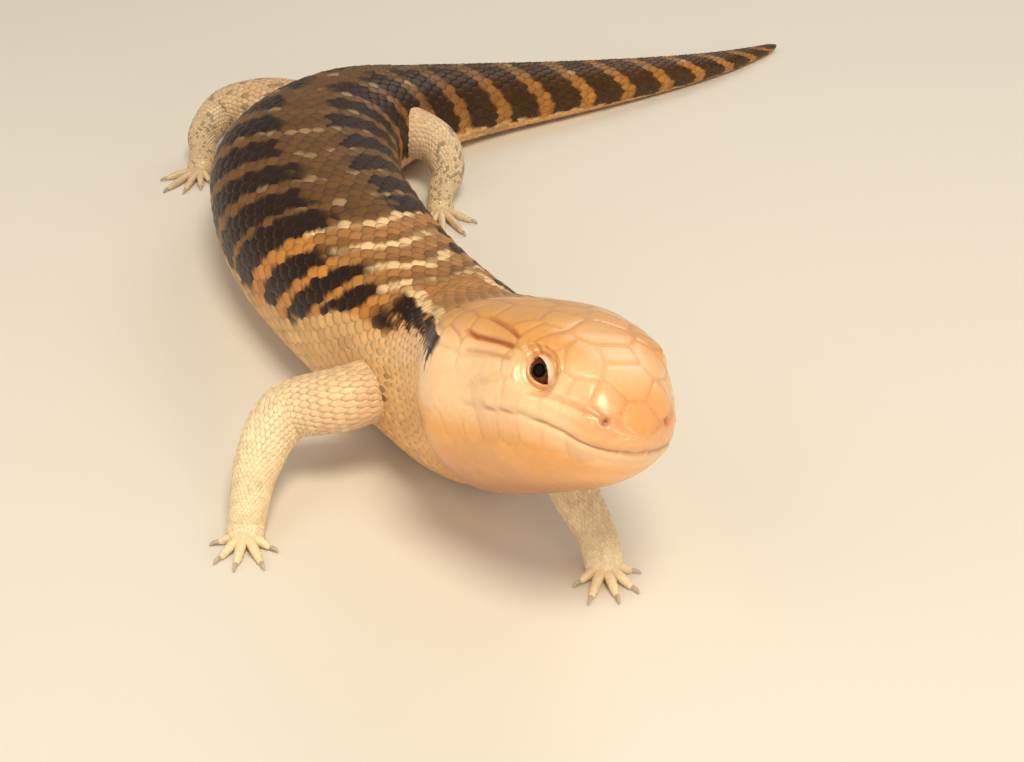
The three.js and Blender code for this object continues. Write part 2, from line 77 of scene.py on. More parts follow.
EYE_BACK, EYE_SIDE, EYE_UP, EYE_RADIUS = 19.3, 12.3, 7.6, 3.9
SLIT_LENGTH, SLIT_HEIGHT, SLIT_AHEAD, SLIT_TILT = 2.85, 2.0, 1.15, -0.72
LID_UNIT, LID_THICK = 2.5, 0.55
# Folds round the eye opening: distance from its edge, spread, height.
LID_FOLDS = [(1.20, 0.15, 0.32), (1.52, 0.11, -0.24), (1.78, 0.14, 0.18), (2.05, 0.12, -0.20)]
EAR_BACK, EAR_ANGLE, EAR_LEAN = 61.0, 1.86, 0.35
NOSTRIL = (3.3, 6.6, 1.8)
MOUTH = ([-3, 0, 2.5, 5, 8.2, 12.5, 18.2, 24, 30.3, 38.2, 42.2],
         [-4, -4, -3.6, -2.8, -1.7, -0.8, -0.7, -1.5, -2.6, -3.9, -4.3])


def curve(table, x):
    """Smooth curve through a table's points, without overshoot."""
    xs, ys = np.asarray(table, float)
    x = np.clip(np.asarray(x, float), xs[0], xs[-1])
    h = np.diff(xs)
    d = np.diff(ys) / h
    m = np.empty(len(xs))
    m[0], m[-1] = d[0], d[-1]
    for i in range(1, len(xs) - 1):
        m[i] = 0 if d[i - 1] * d[i] <= 0 else 2 * d[i - 1] * d[i] / (d[i - 1] + d[i])
    i = np.clip(np.searchsorted(xs, x, side="right") - 1, 0, len(xs) - 2)
    t = (x - xs[i]) / h[i]
    return (ys[i] * (1 + 2 * t) * (1 - t) ** 2 + m[i] * h[i] * t * (1 - t) ** 2
            + ys[i + 1] * t * t * (3 - 2 * t) + m[i + 1] * h[i] * t * t * (t - 1))


def walk_spine():
    """The middle line of the body, walked from the snout to the tail's tip."""
    s = np.arange(0, TOTAL + 0.5, 1.0)
    z = curve(MIDDLE, s)
    turn = np.radians(curve(HEADING, s))
    fall = np.empty_like(z)
    fall[1:-1] = (z[2:] - z[:-2]) / 2
    fall[0], fall[-1] = z[1] - z[0], z[-1] - z[-2]
    level = np.sqrt(np.clip(1 - fall * fall, 0.05, 1))
    fx, fy = np.cos(turn) * level, np.sin(turn) * level
    x = SNOUT[0] - np.concatenate([[0], np.cumsum((fx[1:] + fx[:-1]) / 2)])
    y = SNOUT[1] - np.concatenate([[0], np.cumsum((fy[1:] + fy[:-1]) / 2)])
    return s, x, y, z, turn, fall


SPINE = walk_spine()


def frame_at(s):
    """Centre, ahead, left and up at each place along the body."""
    ss, x, y, z, turn, fall = SPINE
    s = np.asarray(s, float)
    c = np.stack([np.interp(s, ss, q) for q in (x, y, z)], -1)
    t = np.interp(s, ss, turn)
    f = np.interp(s, ss, fall)
    level = np.sqrt(np.clip(1 - f * f, 0.05, 1))
    ahead = np.stack([np.cos(t) * level, np.sin(t) * level, -f], -1)
    left = np.stack([-np.sin(t), np.cos(t), 0 * t], -1)
    up = np.cross(ahead, left)
    r = np.radians(curve(ROLL, s))[..., None]
    return (c, ahead, left * np.cos(r) + up * np.sin(r), -left * np.sin(r) + up * np.cos(r))


def skin_point(s, angle, grow=SKIN_INSET):
    """The plain skin, at an angle measured from the top to the animal's left."""
    s = np.asarray(s, float)
    c, ahead, left, up = frame_at(s)
    front = np.clip(1 - s / SNOUT_ROUNDING, 0, 1)
    tip = np.clip((TOTAL - s) / TIP_ROUNDING, 0, 1)
    scale = np.sqrt(1 - front * front) * np.sqrt(tip)
    sine, cosine = np.sin(angle), np.cos(angle)
    above = cosine >= 0
    square = np.where(above, curve(UPPER_SQUARE, s), curve(LOWER_SQUARE, s))
    tall = np.where(above, curve(RISE, s), curve(DROP, s))
    g = grow * scale
    side = np.sign(sine) * np.abs(sine) ** (2 / square) * (curve(HALF_WIDTH, s) * scale + g)
    rise = np.sign(cosine) * np.abs(cosine) ** (2 / square) * (tall * scale + g)
    turned = np.abs(np.arctan2(sine, cosine))
    swell = 0
    for at, along, rnd, across, high in SWELLINGS:
        swell = swell + high * np.exp(-((s - at) / along) ** 2 - ((turned - rnd) / across) ** 2)
    out = np.maximum(np.hypot(side, rise), 1e-6)
    more = 1 + swell * scale / out
    p = c + left * (side * more)[..., None] + up * (rise * more)[..., None]
    p[..., 2] = np.maximum(p[..., 2], LOWEST)
    return p


def outward(along, around, away):
    """Unit normals of a surface from two directions in it, on the side that away points to."""
    n = np.cross(around, along)
    n /= np.linalg.norm(n, axis=-1)[..., None] + 1e-9
    return n * np.sign(np.sum(away * n, -1))[..., None]


def skin_normal(s, angle):
    """Outward direction of the plain skin."""
    e, b = 0.35, 0.012
    along = skin_point(s + e, angle) - skin_point(s - e, angle)
    around = skin_point(s, angle + b) - skin_point(s, angle - b)
    return outward(along, around, skin_point(s, angle) - frame_at(s)[0])


def smooth(x, lo, hi):
    """0 below lo, 1 above hi, an even slope between."""
    t = np.clip((np.asarray(x, float) - lo) / (hi - lo), 0, 1)
    return t * t * (3 - 2 * t)


def hash3(p, k):
    """A steady value noise, for mottling."""
    q = np.floor(p).astype(np.int64)
    f = p - q
    f = f * f * (3 - 2 * f)
    total = 0
    for dx, dy, dz in np.ndindex(2, 2, 2):
        h = ((q[..., 0] + dx) * 374761393 + (q[..., 1] + dy) * 668265263
             + (q[..., 2] + dz) * 2147483647 + k * 974711) & 0x7FFFFFFF
        h = ((h ^ (h >> 13)) * 1274126177) & 0x7FFFFFFF
        v = ((h ^ (h >> 16)) & 0xFFFF) / 65535.0
        wx, wy, wz = [f[..., i] if d else 1 - f[..., i] for i, d in enumerate((dx, dy, dz))]
        total = total + v * wx * wy * wz
    return total


# Colours, linear light.
CREAM = np.array([0.86, 0.60, 0.32])
TAN = np.array([0.42, 0.20, 0.065])
ORANGE = np.array([0.66, 0.27, 0.055])
PALE = np.array([0.84, 0.50, 0.21])
DARK = np.array([0.026, 0.010, 0.003])
DUSK = np.array([0.115, 0.054, 0.016])
HEAD_TOP = np.array([0.74, 0.365, 0.095])
HEAD_SIDE = np.array([0.97, 0.64, 0.36])
JAW = np.array([0.90, 0.42, 0.11])
SNOUT_COLOUR = np.array([0.80, 0.35, 0.12])
GREY_CREAM = np.array([0.95, 0.77, 0.50])
NECK_PINK = np.array([0.93, 0.58, 0.29])

# Each dark band: its place at the shoulder of the back, half length, and how high up it is black.
BANDS = [(101, 4.9, 0.64), (114.5, 5.0, 0.53), (130, 5.5, 0.64), (151, 7.0, 0.30)]
BANDS += zip(range(168, 389, 20), [6.5] * 12, [0.3, 0.25, 0.3, 0.2, 0.25, 0.15, 0.2, 0.1, 0.05, 0, 0, 0])
BANDS += [(407, 6.2, 0), (426, 6, 0), (444, 5.6, 0), (461, 5.2, 0), (477, 4.8, 0), (491, 4, 0)]
# Bands before this place are narrower in parts, with a pale rim within them.
LAST_NEAR_BAND = 140
# The streak on the nape: places and angles from the top.
NAPE = ((46, 54, 64, 74, 89), (1.30, 1.12, 0.93, 0.76, 0.62))
# Where the belly begins: places and angles from the top.
BELLY_EDGE = ((92, 101, 107, 114, 130, 149, 320, 420), (1.08, 1.17, 1.30, 1.56, 1.64, 1.75, 1.9, 2.3))


def dome(x, middle, wide, power=2):
    """A soft bump of height 1."""
    return np.exp(-((x - middle) / wide) ** power)


def mix(a, b, t):
    """Colours a and b, blended by a share for each point."""
    t = np.asarray(t)[..., None]
    return np.asarray(a) * (1 - t) + np.asarray(b) * t


# The bands slant, by so much for each radian away from the edge of the back.
BACK_EDGE, SLANT = 0.66, 20.0


def marking(s, angle, noise, fine):
    """Colour of the body at a place. noise and fine are per scale, 0 to 1."""
    turned = np.abs(np.arctan2(np.sin(angle), np.cos(angle)))
    slant = SLANT * np.clip(turned - BACK_EDGE, -0.64, 1.0) * (1 - 0.6 * smooth(s, 170, 300))
    place = s - slant * smooth(s, 82, 92) + (noise - 0.5) * 0.7
    belly_edge = np.interp(place, *BELLY_EDGE) + (fine - 0.5) * 0.16
    low = smooth(turned, belly_edge - 0.02, belly_edge + 0.05)
    col = mix(TAN, ORANGE, smooth(turned, 0.40, 0.95))
    black, cream, brown = np.zeros((3,) + s.shape)
    for at, half, top in BANDS:
        near = at < LAST_NEAR_BAND
        swell = 0.72 + 0.34 * dome(turned, 1.15, 0.38) if near else 1.0
        inside = smooth(half * swell + 0.3 - np.abs(place - at), -0.5, 0.5)
        start = smooth(turned + (fine - 0.5) * 0.16, top - 0.05, top + 0.08)
        black = np.maximum(black, inside * start)
        brown = np.maximum(brown, inside * (1 - start))
        rim = np.abs(place - (at - (2.0 if near else half)))
        cream = np.maximum(cream, smooth(2.2 - rim, -0.3, 0.5) * (1 - smooth(turned, 0.62, 0.80)))
    # the streak from the shoulder down to the rear of the cheek, its lower edge like a comb
    over = turned - np.interp(s, *NAPE)
    comb = 0.24 * np.abs(np.mod(s / 2.1, 1) * 2 - 1) * smooth(over, 0, 0.05)
    streak = smooth(over, -0.13, -0.09) * (1 - smooth(over, 0.09 + comb, 0.12 + comb))
    streak = streak * smooth(s, 44, 47) * (1 - smooth(s, 88, 93)) * smooth(fine + noise * 0.5, 0.06, 0.16)
    paler = smooth(over, -0.30, -0.26) * (1 - smooth(over, -0.12, -0.08)) * smooth(s, 50, 56)
    paler = paler * (1 - smooth(s, 88, 94))
    # a black patch below the streak, with a cream spot in it
    patch = dome(s, 88, 7.5, 4) * dome(turned, 0.96, 0.17, 4) * (fine > 0.08)
    patch = patch * (1 - dome(s, 86, 1.8, 4) * dome(turned, 0.85, 0.09, 4))
    marked = np.maximum(streak, patch)
    ahead = 1 - smooth(s, 90, 95)
    cream = np.maximum(cream * (1 - ahead * 0.4), paler)
    black = np.maximum(black * (1 - ahead), marked)
    col = mix(col, TAN * 0.60, brown * 0.8)
    near_rows = 1 - smooth(place, 147, 150)
    col = mix(col, CREAM, cream * (0.30 + 0.70 * (fine > 0.25)) * near_rows)
    # the far half of the body is darker: partly a darker colour of its own, partly painted shadow; its
    # cream rows are dimmed there too
    far_dark_and_shadow = smooth(place, 146, 151) * (1 - smooth(s, 300, 400) * 0.5)
    col = mix(col, DUSK * 1.1, far_dark_and_shadow * (1 - 0.35 * smooth(turned, 1.1, 1.7)) * 0.84)
    col = mix(col, CREAM * 0.6, cream * (fine > 0.6) * (1 - near_rows) * 0.5)
    col = mix(col, mix(DARK, DUSK, smooth(s, 240, 420) * 0.5), black)
    belly = mix(PALE, PALE * 0.92, smooth(turned, 2.0, 2.6))
    fleck = smooth(hash3(np.stack([s * 0.09, turned * 6.0, 0 * s], -1), 5), 0.62, 0.75)
    belly = mix(belly, DUSK * 2.2, fleck * 0.35 * smooth(s, 110, 150))
    col = mix(col, belly, low * (1 - marked))
    neck = (1 - smooth(s, 62, 96)) * smooth(over, 0.10, 0.3) * (1 - marked)
    col = mix(col, mix(NECK_PINK, JAW, smooth(turned, 1.5, 2.4)), neck)
    col = col * (0.86 + 0.26 * noise[..., None]) * (0.93 + 0.12 * fine[..., None])
    return np.clip(col, 0.004, 0.95)


def new_object(name, data):
    ob = bpy.data.objects.new(name, data)
    bpy.context.scene.collection.objects.link(ob)
    return ob


def make_mesh(name, verts, faces, colours=None, uv=None):
    """A smooth mesh object from triangles, in millimetres."""
    me = bpy.data.meshes.new(name)
    me.vertices.add(len(verts))
    me.vertices.foreach_set("co", ((verts - CENTRE) * MM).ravel())
    me.loops.add(faces.size)
    me.loops.foreach_set("vertex_index", faces.ravel().astype(np.int32))
    me.polygons.add(len(faces))
    me.polygons.foreach_set("loop_start", np.arange(0, faces.size, 3, dtype=np.int32))
    me.polygons.foreach_set("use_smooth", np.full(len(faces), True))
    if uv is not None:
        layer = me.uv_layers.new(name="OFBake")
        layer.data.foreach_set("uv", uv[faces.ravel()].ravel())
    if colours is not None:
        attr = me.color_attributes.new("Tint", "FLOAT_COLOR", "POINT")
        attr.data.foreach_set("color", np.hstack([colours, np.ones((len(verts), 1))]).ravel())
    me.update(calc_edges=True)
    me.validate()
    return new_object(name, me)


def to_tris(quads, tris):
    return np.concatenate([quads[:, [0, 1, 2]], quads[:, [0, 2, 3]], tris], 0)


def tube_faces(rows, around):
    """Faces of a tube of rings: quads, and fans at the ends round two points added last."""
    idx = np.arange(rows * around).reshape(rows, around)
    near = np.roll(idx, -1, 1)
    quads = np.stack([idx[:-1], near[:-1], near[1:], idx[1:]], -1).reshape(-1, 4)
    first = np.stack([np.full(around, rows * around), near[0], idx[0]], -1)
    last = np.stack([np.full(around, rows * around + 1), idx[-1], near[-1]], -1)
    return quads, np.concatenate([first, last], 0)


def close_rings(rings):
    """Values of a tube's rings as one list, with the mean of each end ring added for its fan."""
    return np.vstack([rings.reshape(-1, 3), rings[0].mean(0), rings[-1].mean(0)])


class Gather:
    """Several closed meshes that become one object."""

    def __init__(self):
        self.parts, self.count = [], 0

    def add(self, verts, quads, tris, *looks):
        """looks is nothing, or colours, or colours and places on the baked picture."""
        self.parts.append((verts, quads + self.count, tris + self.count, *looks))
        self.count += len(verts)

    def mesh(self, name, mat):
        verts, quads, tris, *looks = [np.vstack(q) for q in zip(*self.parts)]
        ob = make_mesh(name, verts, to_tris(quads, tris), *looks)
        ob.data.materials.append(mat)
        return ob


def mirrored(rows):
    """Each shield as start, angle, size, end, angle at the end, for both sides."""
    out = []
    for row in rows:
        s, a, r = row[:3]
        s_to, a_to = row[3:] or (s, a)
        out.append((s, a, r, s_to, a_to))
        if a > 0:
            out.append((s, -a, r, s_to, -a_to))
    return out


# Head shields: place, angle from the top, size, and where a long one ends.
SHIELDS = mirrored([
    (0.4, 0.0, 2.6), (7.6, 0.0, 2.9), (4.2, 0.75, 2.0), (12.2, 0.0, 2.2), (12.6, 0.52, 2.6),
    (20.5, 0.0, 3.6), (15.5, 0.80, 1.9), (19.5, 0.66, 2.2), (24.2, 0.62, 2.2), (28.0, 0.62, 1.9),
    (28.6, 0.17, 2.7), (33.6, 0.0, 2.3), (35.0, 0.42, 4.2), (41.5, 0.13, 3.0), (42.5, 0.55, 3.2),
    (48.5, 0.14, 2.6), (49.0, 0.48, 2.6), (55.0, 0.14, 2.5), (55.5, 0.45, 2.5),
    (8.2, 1.02, 1.9), (12.0, 1.12, 1.9), (4.2, 1.3, 1.5),
    (29.0, 0.88, 1.5, 38.0, 0.90), (28.5, 1.075, 1.4, 37.0, 1.16), (27.5, 1.28, 1.5, 35.5, 1.42),
    (43.6, 0.92, 2.9), (44.5, 1.16, 2.6), (44.0, 1.40, 2.6), (50.0, 0.88, 2.8),
    (50.5, 1.18, 2.8), (50.5, 1.46, 2.6), (56.0, 0.8, 2.6), (56.5, 1.1, 2.6),
    (3.4, 1.45, 2.0), (7.6, 1.42, 2.3), (11.8, 1.44, 2.3), (16.2, 1.47, 2.4), (20.8, 1.48, 2.5),
    (25.6, 1.50, 2.5), (30.6, 1.55, 2.4), (36.0, 1.59, 2.4), (41.6, 1.63, 2.5), (47.2, 1.66, 2.6),
    (16.5, 1.21, 1.4), (20.2, 1.24, 1.4), (24.0, 1.22, 1.5),
    (0.8, 2.5, 2.6), (5.6, 1.98, 2.3), (10.6, 1.86, 2.3), (15.8, 1.82, 2.3), (21.2, 1.82, 2.3),
    (26.8, 1.85, 2.3), (32.4, 1.89, 2.3), (38.2, 1.92, 2.3), (44.0, 1.96, 2.4),
    (10.8, 2.22, 2.4), (17.0, 2.14, 2.5), (23.4, 2.13, 2.5), (29.8, 2.14, 2.4), (36.0, 2.16, 2.3),
    (6.5, 2.7, 3.0), (13.0, 2.45, 3.0), (13.5, 2.95, 2.8), (19.5, 2.40, 2.9), (20.5, 2.85, 2.8),
    (26.5, 2.36, 2.8), (27.5, 2.78, 2.7)])


def fine_seeds():
    """Smaller scales of the throat and the rear of the head."""
    out = []
    in_row = 46
    for k, s in enumerate(np.arange(30, 66, 3.1)):
        for j in range(in_row):
            a = (j + 0.5 * (k % 2)) * 2 * math.pi / in_row
            a = a - 2 * math.pi if a > math.pi else a
            t = abs(a)
            wanted = t > 2.14 + 0.06 * math.sin(s) or (s > 49.5 and t > 1.62) or s > 59
            if wanted and not (s < 32 and t > 2.6):
                out.append((s, a, 1.25, s, a))
    return out


seed_s, seed_a, seed_r, end_s, end_a = np.array(SHIELDS + fine_seeds(), float).T
seed_p = skin_point(seed_s, seed_a)
seed_q = skin_point(end_s, end_a)


def from_line(p, a, b):
    """Distance of each point from the straight line between a and b."""
    w = b - a
    t = np.clip(((p - a) @ w) / max(w @ w, 1e-9), 0, 1)
    return np.linalg.norm(p - a - t[:, None] * w, axis=1)


def plates(p):
    """Nearest shield, distance to its edge."""
    best = np.full(len(p), 1e9)
    second = np.full(len(p), 1e9)
    who = np.zeros(len(p), int)
    for i in range(len(seed_p)):
        d = from_line(p, seed_p[i], seed_q[i]) - seed_r[i]
        closer = d < best
        second = np.where(closer, best, np.minimum(second, d))
        who = np.where(closer, i, who)
        best = np.where(closer, d, best)
    return who, (second - best) / 2


def one_frame(s):
    return [q[0] for q in frame_at(np.array([float(s)]))]


HEAD_FRAME = one_frame(20)
HEAD_ORIGIN = one_frame(0)[0]


def head_coords(p):
    """Distance back from the snout, to the left and up, in the head's own directions."""
    d = p - HEAD_ORIGIN
    return -d @ HEAD_FRAME[1], d @ HEAD_FRAME[2], d @ HEAD_FRAME[3]


def from_nostril(p, hand):
    """Distance of each point from a nostril's middle, which is a point of the skin."""
    c, a, l, u = one_frame(NOSTRIL[0])
    at = c + l * NOSTRIL[1] * hand + u * NOSTRIL[2]
    i = np.argmin(np.linalg.norm(p - at, axis=1))
    return np.linalg.norm(p - p[i], axis=1)


def from_ear(back, up, hand, wide, tall):
    """The ear's middle, and how far out of its upright slit each point is, squared."""
    at = skin_point(np.array([EAR_BACK]), np.array([hand * EAR_ANGLE]))[0]
    b0, _, u0 = head_coords(at[None])
    return at, ((back - b0 - EAR_LEAN * (up - u0)) / wide) ** 2 + ((up - u0) / tall) ** 2


def unit(v):
    return v / np.linalg.norm(v)


def eye_frame(hand):
    """Centre of an eye, and its directions out, ahead and up."""
    c, a, l, u = one_frame(EYE_BACK)
    centre = c + l * EYE_SIDE * hand + u * EYE_UP
    out = unit(l * hand + u * 0.42 + a * 0.22)
    ahead = unit(a - out * (a @ out))
    up = np.cross(ahead, out)
    return centre, out, ahead, up if up @ u > 0 else -up


# Deep creases behind the eye and along the upper lip: places along and angles from the top,
# then depth and half width.
CREASES = [
    ([(25.5, 0.80), (28.5, 0.775), (33, 0.74), (39.5, 0.72)], 0.55, 0.55),
    ([(24.8, 0.95), (30, 0.985), (36.5, 1.05), (41.5, 1.0)], 0.75, 0.60),
    ([(23.5, 1.12), (30, 1.17), (38.5, 1.26)], 0.36, 0.50),
    ([(23.0, 1.38), (29, 1.47), (37, 1.60)], 0.12, 0.50),
    ([(2.9, 1.19), (7.2, 1.26), (12.2, 1.33), (18, 1.44)], 0.30, 0.45),
]
CREASE_STEPS = 8


def crease_depth(p, s):
    """How deep the creases cut at each point."""
    total = np.zeros(len(p))
    for line, deep, wide in CREASES:
        ends = len(line) - 1
        steps = np.linspace(0, ends, ends * CREASE_STEPS + 1)
        places, turns = [np.interp(steps, range(len(line)), q) for q in zip(*line)]
        best = np.full(len(p), 1e9)
        for hand in (1, -1):
            path = skin_point(places, turns * hand)
            for a, b in zip(path[:-1], path[1:]):
                best = np.minimum(best, from_line(p, a, b))
        first, last = places[0], places[-1]
        fade = smooth(s, first - 0.5, first + 1.5) * (1 - smooth(s, last - 2.0, last + 0.5))
        total = np.maximum(total, deep * dome(best, 0, wide) * fade)
    return total


def sculpt_head(p, n, s, angle):
    """Shields, mouth, nostrils, lids and ears on the plain skin. Returns the new points and masks."""
    back, side, up = head_coords(p)
    who, edge = plates(p)
    fade = 1 - smooth(s, 56, 66)
    size = seed_r[who]
    crown = 1 - np.exp(-(np.maximum(edge, 0) / (0.24 + 0.07 * size)) ** 1.4)
    turned = np.abs(angle)
    # shields are fainter on the lips and the throat, and stand out on the temple
    faint = np.clip(dome(turned, 1.62, 0.22) + smooth(turned, 1.9, 2.2), 0, 1)
    tall = np.where(size > 1.3, 0.24, 0.20) * (1 - 0.85 * faint)
    tall = tall + 0.30 * dome(s, 38, 11) * dome(turned, 1.02, 0.28)
    cut = crease_depth(p, s)
    lift = (crown - 0.55) * tall * fade - cut
    # the line of the mouth, with full lips
    line = np.interp(back, MOUTH[0], MOUTH[1])
    wave = 0.10 * np.sin(back * 0.42) * smooth(back, 4, 14)
    dm = up - line - wave
    weaker = 1 - 0.6 * smooth(back, 26, 38)
    deep = 0.75 * weaker * (1 - smooth(back, 40.0, 45.0))
    lift = lift + deep * (0.40 * dome(dm, 1.5, 1.0) + 0.25 * dome(dm, -1.4, 0.9) - dome(dm, 0, 0.36))
    q = p + n * lift[:, None]
    # tone: dark seams between the shields, and painted shade in the deep creases
    tone = (1 - (1 - crown) * (1 - 0.90 * faint)) * (1 - np.clip(cut * 1.5, 0, 0.95))
    for hand in (1, -1):
        d = from_nostril(p, hand)
        q = q + n * (0.18 * dome(d, 1.3, 0.5) - 1.1 * dome(d, 0, 0.70))[:, None]
        at, out_of = from_ear(back, up, hand, 1.35, 2.9)
        near = np.sign(side) == hand
        rim = 0.5 * dome(np.sqrt(out_of), 1.5, 0.35)
        q = q + n * ((rim - 2.6 * np.exp(-out_of ** 1.3)) * near)[:, None]
    lidmask, opening_shade, pale = np.zeros((3, len(p)))
    for hand in (1, -1):
        c, out, ahead, eup = eye_frame(hand)
        d = q - c
        x, y, w = d @ ahead, d @ eup, d @ out
        near = (np.hypot(x, y) < 9) & (w > -3)
        # rad is 1 on the edge of the slanting opening
        tx = (x - SLIT_AHEAD) * math.cos(SLIT_TILT) + y * math.sin(SLIT_TILT)
        ty = -(x - SLIT_AHEAD) * math.sin(SLIT_TILT) + y * math.cos(SLIT_TILT)
        high = np.where(ty > 0, SLIT_HEIGHT * 0.88, SLIT_HEIGHT)
        rad = (np.abs(tx / SLIT_LENGTH) ** 1.7 + np.abs(ty / high) ** 1.7) ** (1 / 1.7)
        semi = np.hypot(tx, ty) / np.maximum(rad, 0.1)
        rad = np.where(rad > 1, 1 + (rad - 1) * semi / LID_UNIT, rad)
        rr = np.hypot(x, y)
        ball = np.sqrt(np.maximum(EYE_RADIUS ** 2 - rr ** 2, 0.3))
        lid = np.sqrt(np.maximum((EYE_RADIUS + LID_THICK) ** 2 - rr ** 2, 1.2))
        folds = sum(height * dome(rad, at, wide) for at, wide, height in LID_FOLDS)
        # small creases run back from the corner of the eye
        back_crease = 0.22 * np.cos(ty * 3.6 + 0.8) * dome(tx, -5.0, 1.6) * dome(ty, 0, 2.6)
        blend = 1 - smooth(rad, 1.35, 2.4)
        goal = lid * blend + w * (1 - blend) + folds + back_crease
        opened = 1 - smooth(rad, 0.92, 1.06)
        goal = goal * (1 - opened) + (ball - 0.7) * opened
        new_w = np.where(near & (rad < 3.4), goal, w + np.where(near, back_crease, 0))
        q = q + out * (new_w - w)[:, None]
        lidmask = np.maximum(lidmask, (1 - smooth(rad, 1.5, 2.1)) * near)
        # painted shade on the rim of the eye opening and within it
        opening_shade = np.maximum(opening_shade, (1 - smooth(rad, 1.0, 1.10)) * near)
        upper = smooth(ty, 0.3, 1.3) * smooth(rad, 1.04, 1.10) * (1 - smooth(rad, 1.3, 1.5))
        pale = np.maximum(pale, upper * near)
    masks = dict(who=who, tone=tone, lid=lidmask, opening_shade=opening_shade, dm=dm, back=back, up=up, cut=cut, pale=pale,
                 weaker=weaker)
    return q, masks


def head_colour(p, s, angle, masks):
    """Colour of the head at each point, from the masks that its sculpting left."""
    turned = np.abs(np.arctan2(np.sin(angle), np.cos(angle)))
    dm, back, up, cut = masks["dm"], masks["back"], masks["up"], masks["cut"]
    col = mix(HEAD_TOP, HEAD_SIDE, smooth(turned, 0.75, 1.35))
    col = mix(col, JAW, smooth(-dm, 0.2, 7.0))
    # painted shade under the throat: darker and browner further below the mouth
    col = mix(col, JAW * (0.66, 0.50, 0.30), smooth(-dm, 8, 20))
    col = mix(col, (0.42, 0.19, 0.05), smooth(-dm, 13, 26) * 0.5)
    tip = 1 - smooth(s, 2.0, 11.0)
    col = mix(col, SNOUT_COLOUR, tip * 0.75 * smooth(dm, -3, 2))
    per_shield = rng.random(len(seed_p))[masks["who"]]
    col = col * (0.94 + 0.12 * per_shield[:, None])
    mottle = smooth(hash3(p * 0.16, 3), 0.35, 0.8) * (1 - smooth(turned, 1.0, 1.4))
    col = mix(col, col * (1.1, 0.86, 0.66), mottle * 0.30)
    # painted highlight: a paler patch on the top of the snout
    painted_snout_highlight = dome(s, 9.5, 5.5) * (1 - smooth(turned, 0.8, 1.2))
    col = mix(col, (0.98, 0.68, 0.42), painted_snout_highlight * 0.5)
    # the cheek paler: partly its own pink cream, partly painted light over the shade of the hollow below
    # the cheek's swelling
    cheek = dome(s, 38, 12) * dome(turned, 1.38, 0.26)
    col = mix(col, (1.0, 0.70, 0.42), cheek * 0.7)
    # the seams between the shields darker, with the painted shade of the deep creases
    crease = 1 - masks["tone"]
    above = np.clip(crease * 0.36, 0, 1) * smooth(2.3 - turned, 0, 0.6)
    below = np.clip(crease * 0.5, 0, 1) * smooth(turned, 2.0, 2.3)
    col = mix(col, col * (0.62, 0.44, 0.28), above)
    col = mix(col, col * (0.86, 0.78, 0.68), below)
    # painted shade in the deep creases behind the eye and along the lip
    col = mix(col, col * (0.66, 0.40, 0.22), np.clip(cut * 1.3, 0, 0.85))
    # painted shade along the line of the mouth
    mouth = dome(dm, 0, 0.33) * masks["weaker"] * (1 - smooth(back, 40, 44.5))
    col = mix(col, (0.46, 0.19, 0.08), mouth * 0.42)
    col = mix(col, col * (0.80, 0.62, 0.48), masks["lid"] * 0.85)
    col = mix(col, (0.90, 0.62, 0.46), masks["pale"] * 0.85)
    # painted shade on the rim of the eye opening and within it
    col = mix(col, (0.13, 0.045, 0.02), masks["opening_shade"])
    for hand in (1, -1):
        d = from_nostril(p, hand)
        col = mix(col, (0.66, 0.25, 0.15), dome(d, 0, 1.5) * 0.6)
        # painted shade in the hollow of the nostril, inside its reddish rim
        col = mix(col, (0.26, 0.06, 0.03), dome(d, 0, 0.70) * 0.95)
        at, out_of = from_ear(back, up, hand, 1.2, 2.7)
        near = np.linalg.norm(p - at, axis=1) < 12
        # painted shade in the ear opening
        col = mix(col, (0.05, 0.02, 0.012), np.exp(-out_of ** 1.5) * near)
    return np.clip(col, 0.004, 0.98)


def ring_angles(n):
    """Angles crowded towards the top and the sides, sparser below."""
    fine = np.linspace(-math.pi, math.pi, 2001)
    turned = np.abs(fine)
    weight = 0.55 + 0.6 * dome(turned, 0.95, 0.75) + 0.9 * dome(turned, 0.97, 0.2)
    cum = np.concatenate([[0], np.cumsum((weight[1:] + weight[:-1]) / 2)])
    return np.interp(np.arange(n) / n * cum[-1], cum, fine)


AROUND = 232
STEP_HEAD = 0.42
SCULPTED_TO = 68


def build_skin():
    """The skin of head, body and tail: points, quads, triangles and colours."""
    rows = np.concatenate([
        [0.02, 0.1, 0.25], np.arange(0.45, 13, STEP_HEAD), np.arange(13, 26, STEP_HEAD * 0.58),
        np.arange(26, 66, STEP_HEAD), np.arange(66.5, TOTAL - 5, 2.2),
        TOTAL - np.array([4, 3, 2, 1.2, 0.5, 0.1])])
    grid = np.stack(np.meshgrid(rows, ring_angles(AROUND), indexing="ij"))
    s, a = grid.reshape(2, -1)
    p = skin_point(s, a)
    n = skin_normal(np.clip(s, 0.5, TOTAL - 0.6), a)
    tint = marking(s, a, hash3(p * 0.2, 1), hash3(p * 0.35, 2))
    m = s < SCULPTED_TO
    sculpted, masks = sculpt_head(p[m], n[m], s[m], a[m])
    head = head_colour(p[m], s[m], a[m], masks)
    black_here = smooth(0.10 - tint[m].mean(1), 0, 0.05) * smooth(s[m], 45.5, 48)
    tint[m] = mix(head, tint[m], np.maximum(smooth(s[m], 54, 62), black_here))
    p[m] = sculpted
    p[:, 2] = np.maximum(p[:, 2], LOWEST)
    rings = grid.shape[1:] + (3,)
    return close_rings(p.reshape(rings)), *tube_faces(*rings[:2]), close_rings(tint.reshape(rings))


skin = Gather()
skin.add(*build_skin())
claws = Gather()


def set_inputs(node, **values):
    """Set a node's inputs. An underscore in a name stands for a blank."""
    for key, value in values.items():
        node.inputs[key.replace("_", " ")].default_value = value
    return node


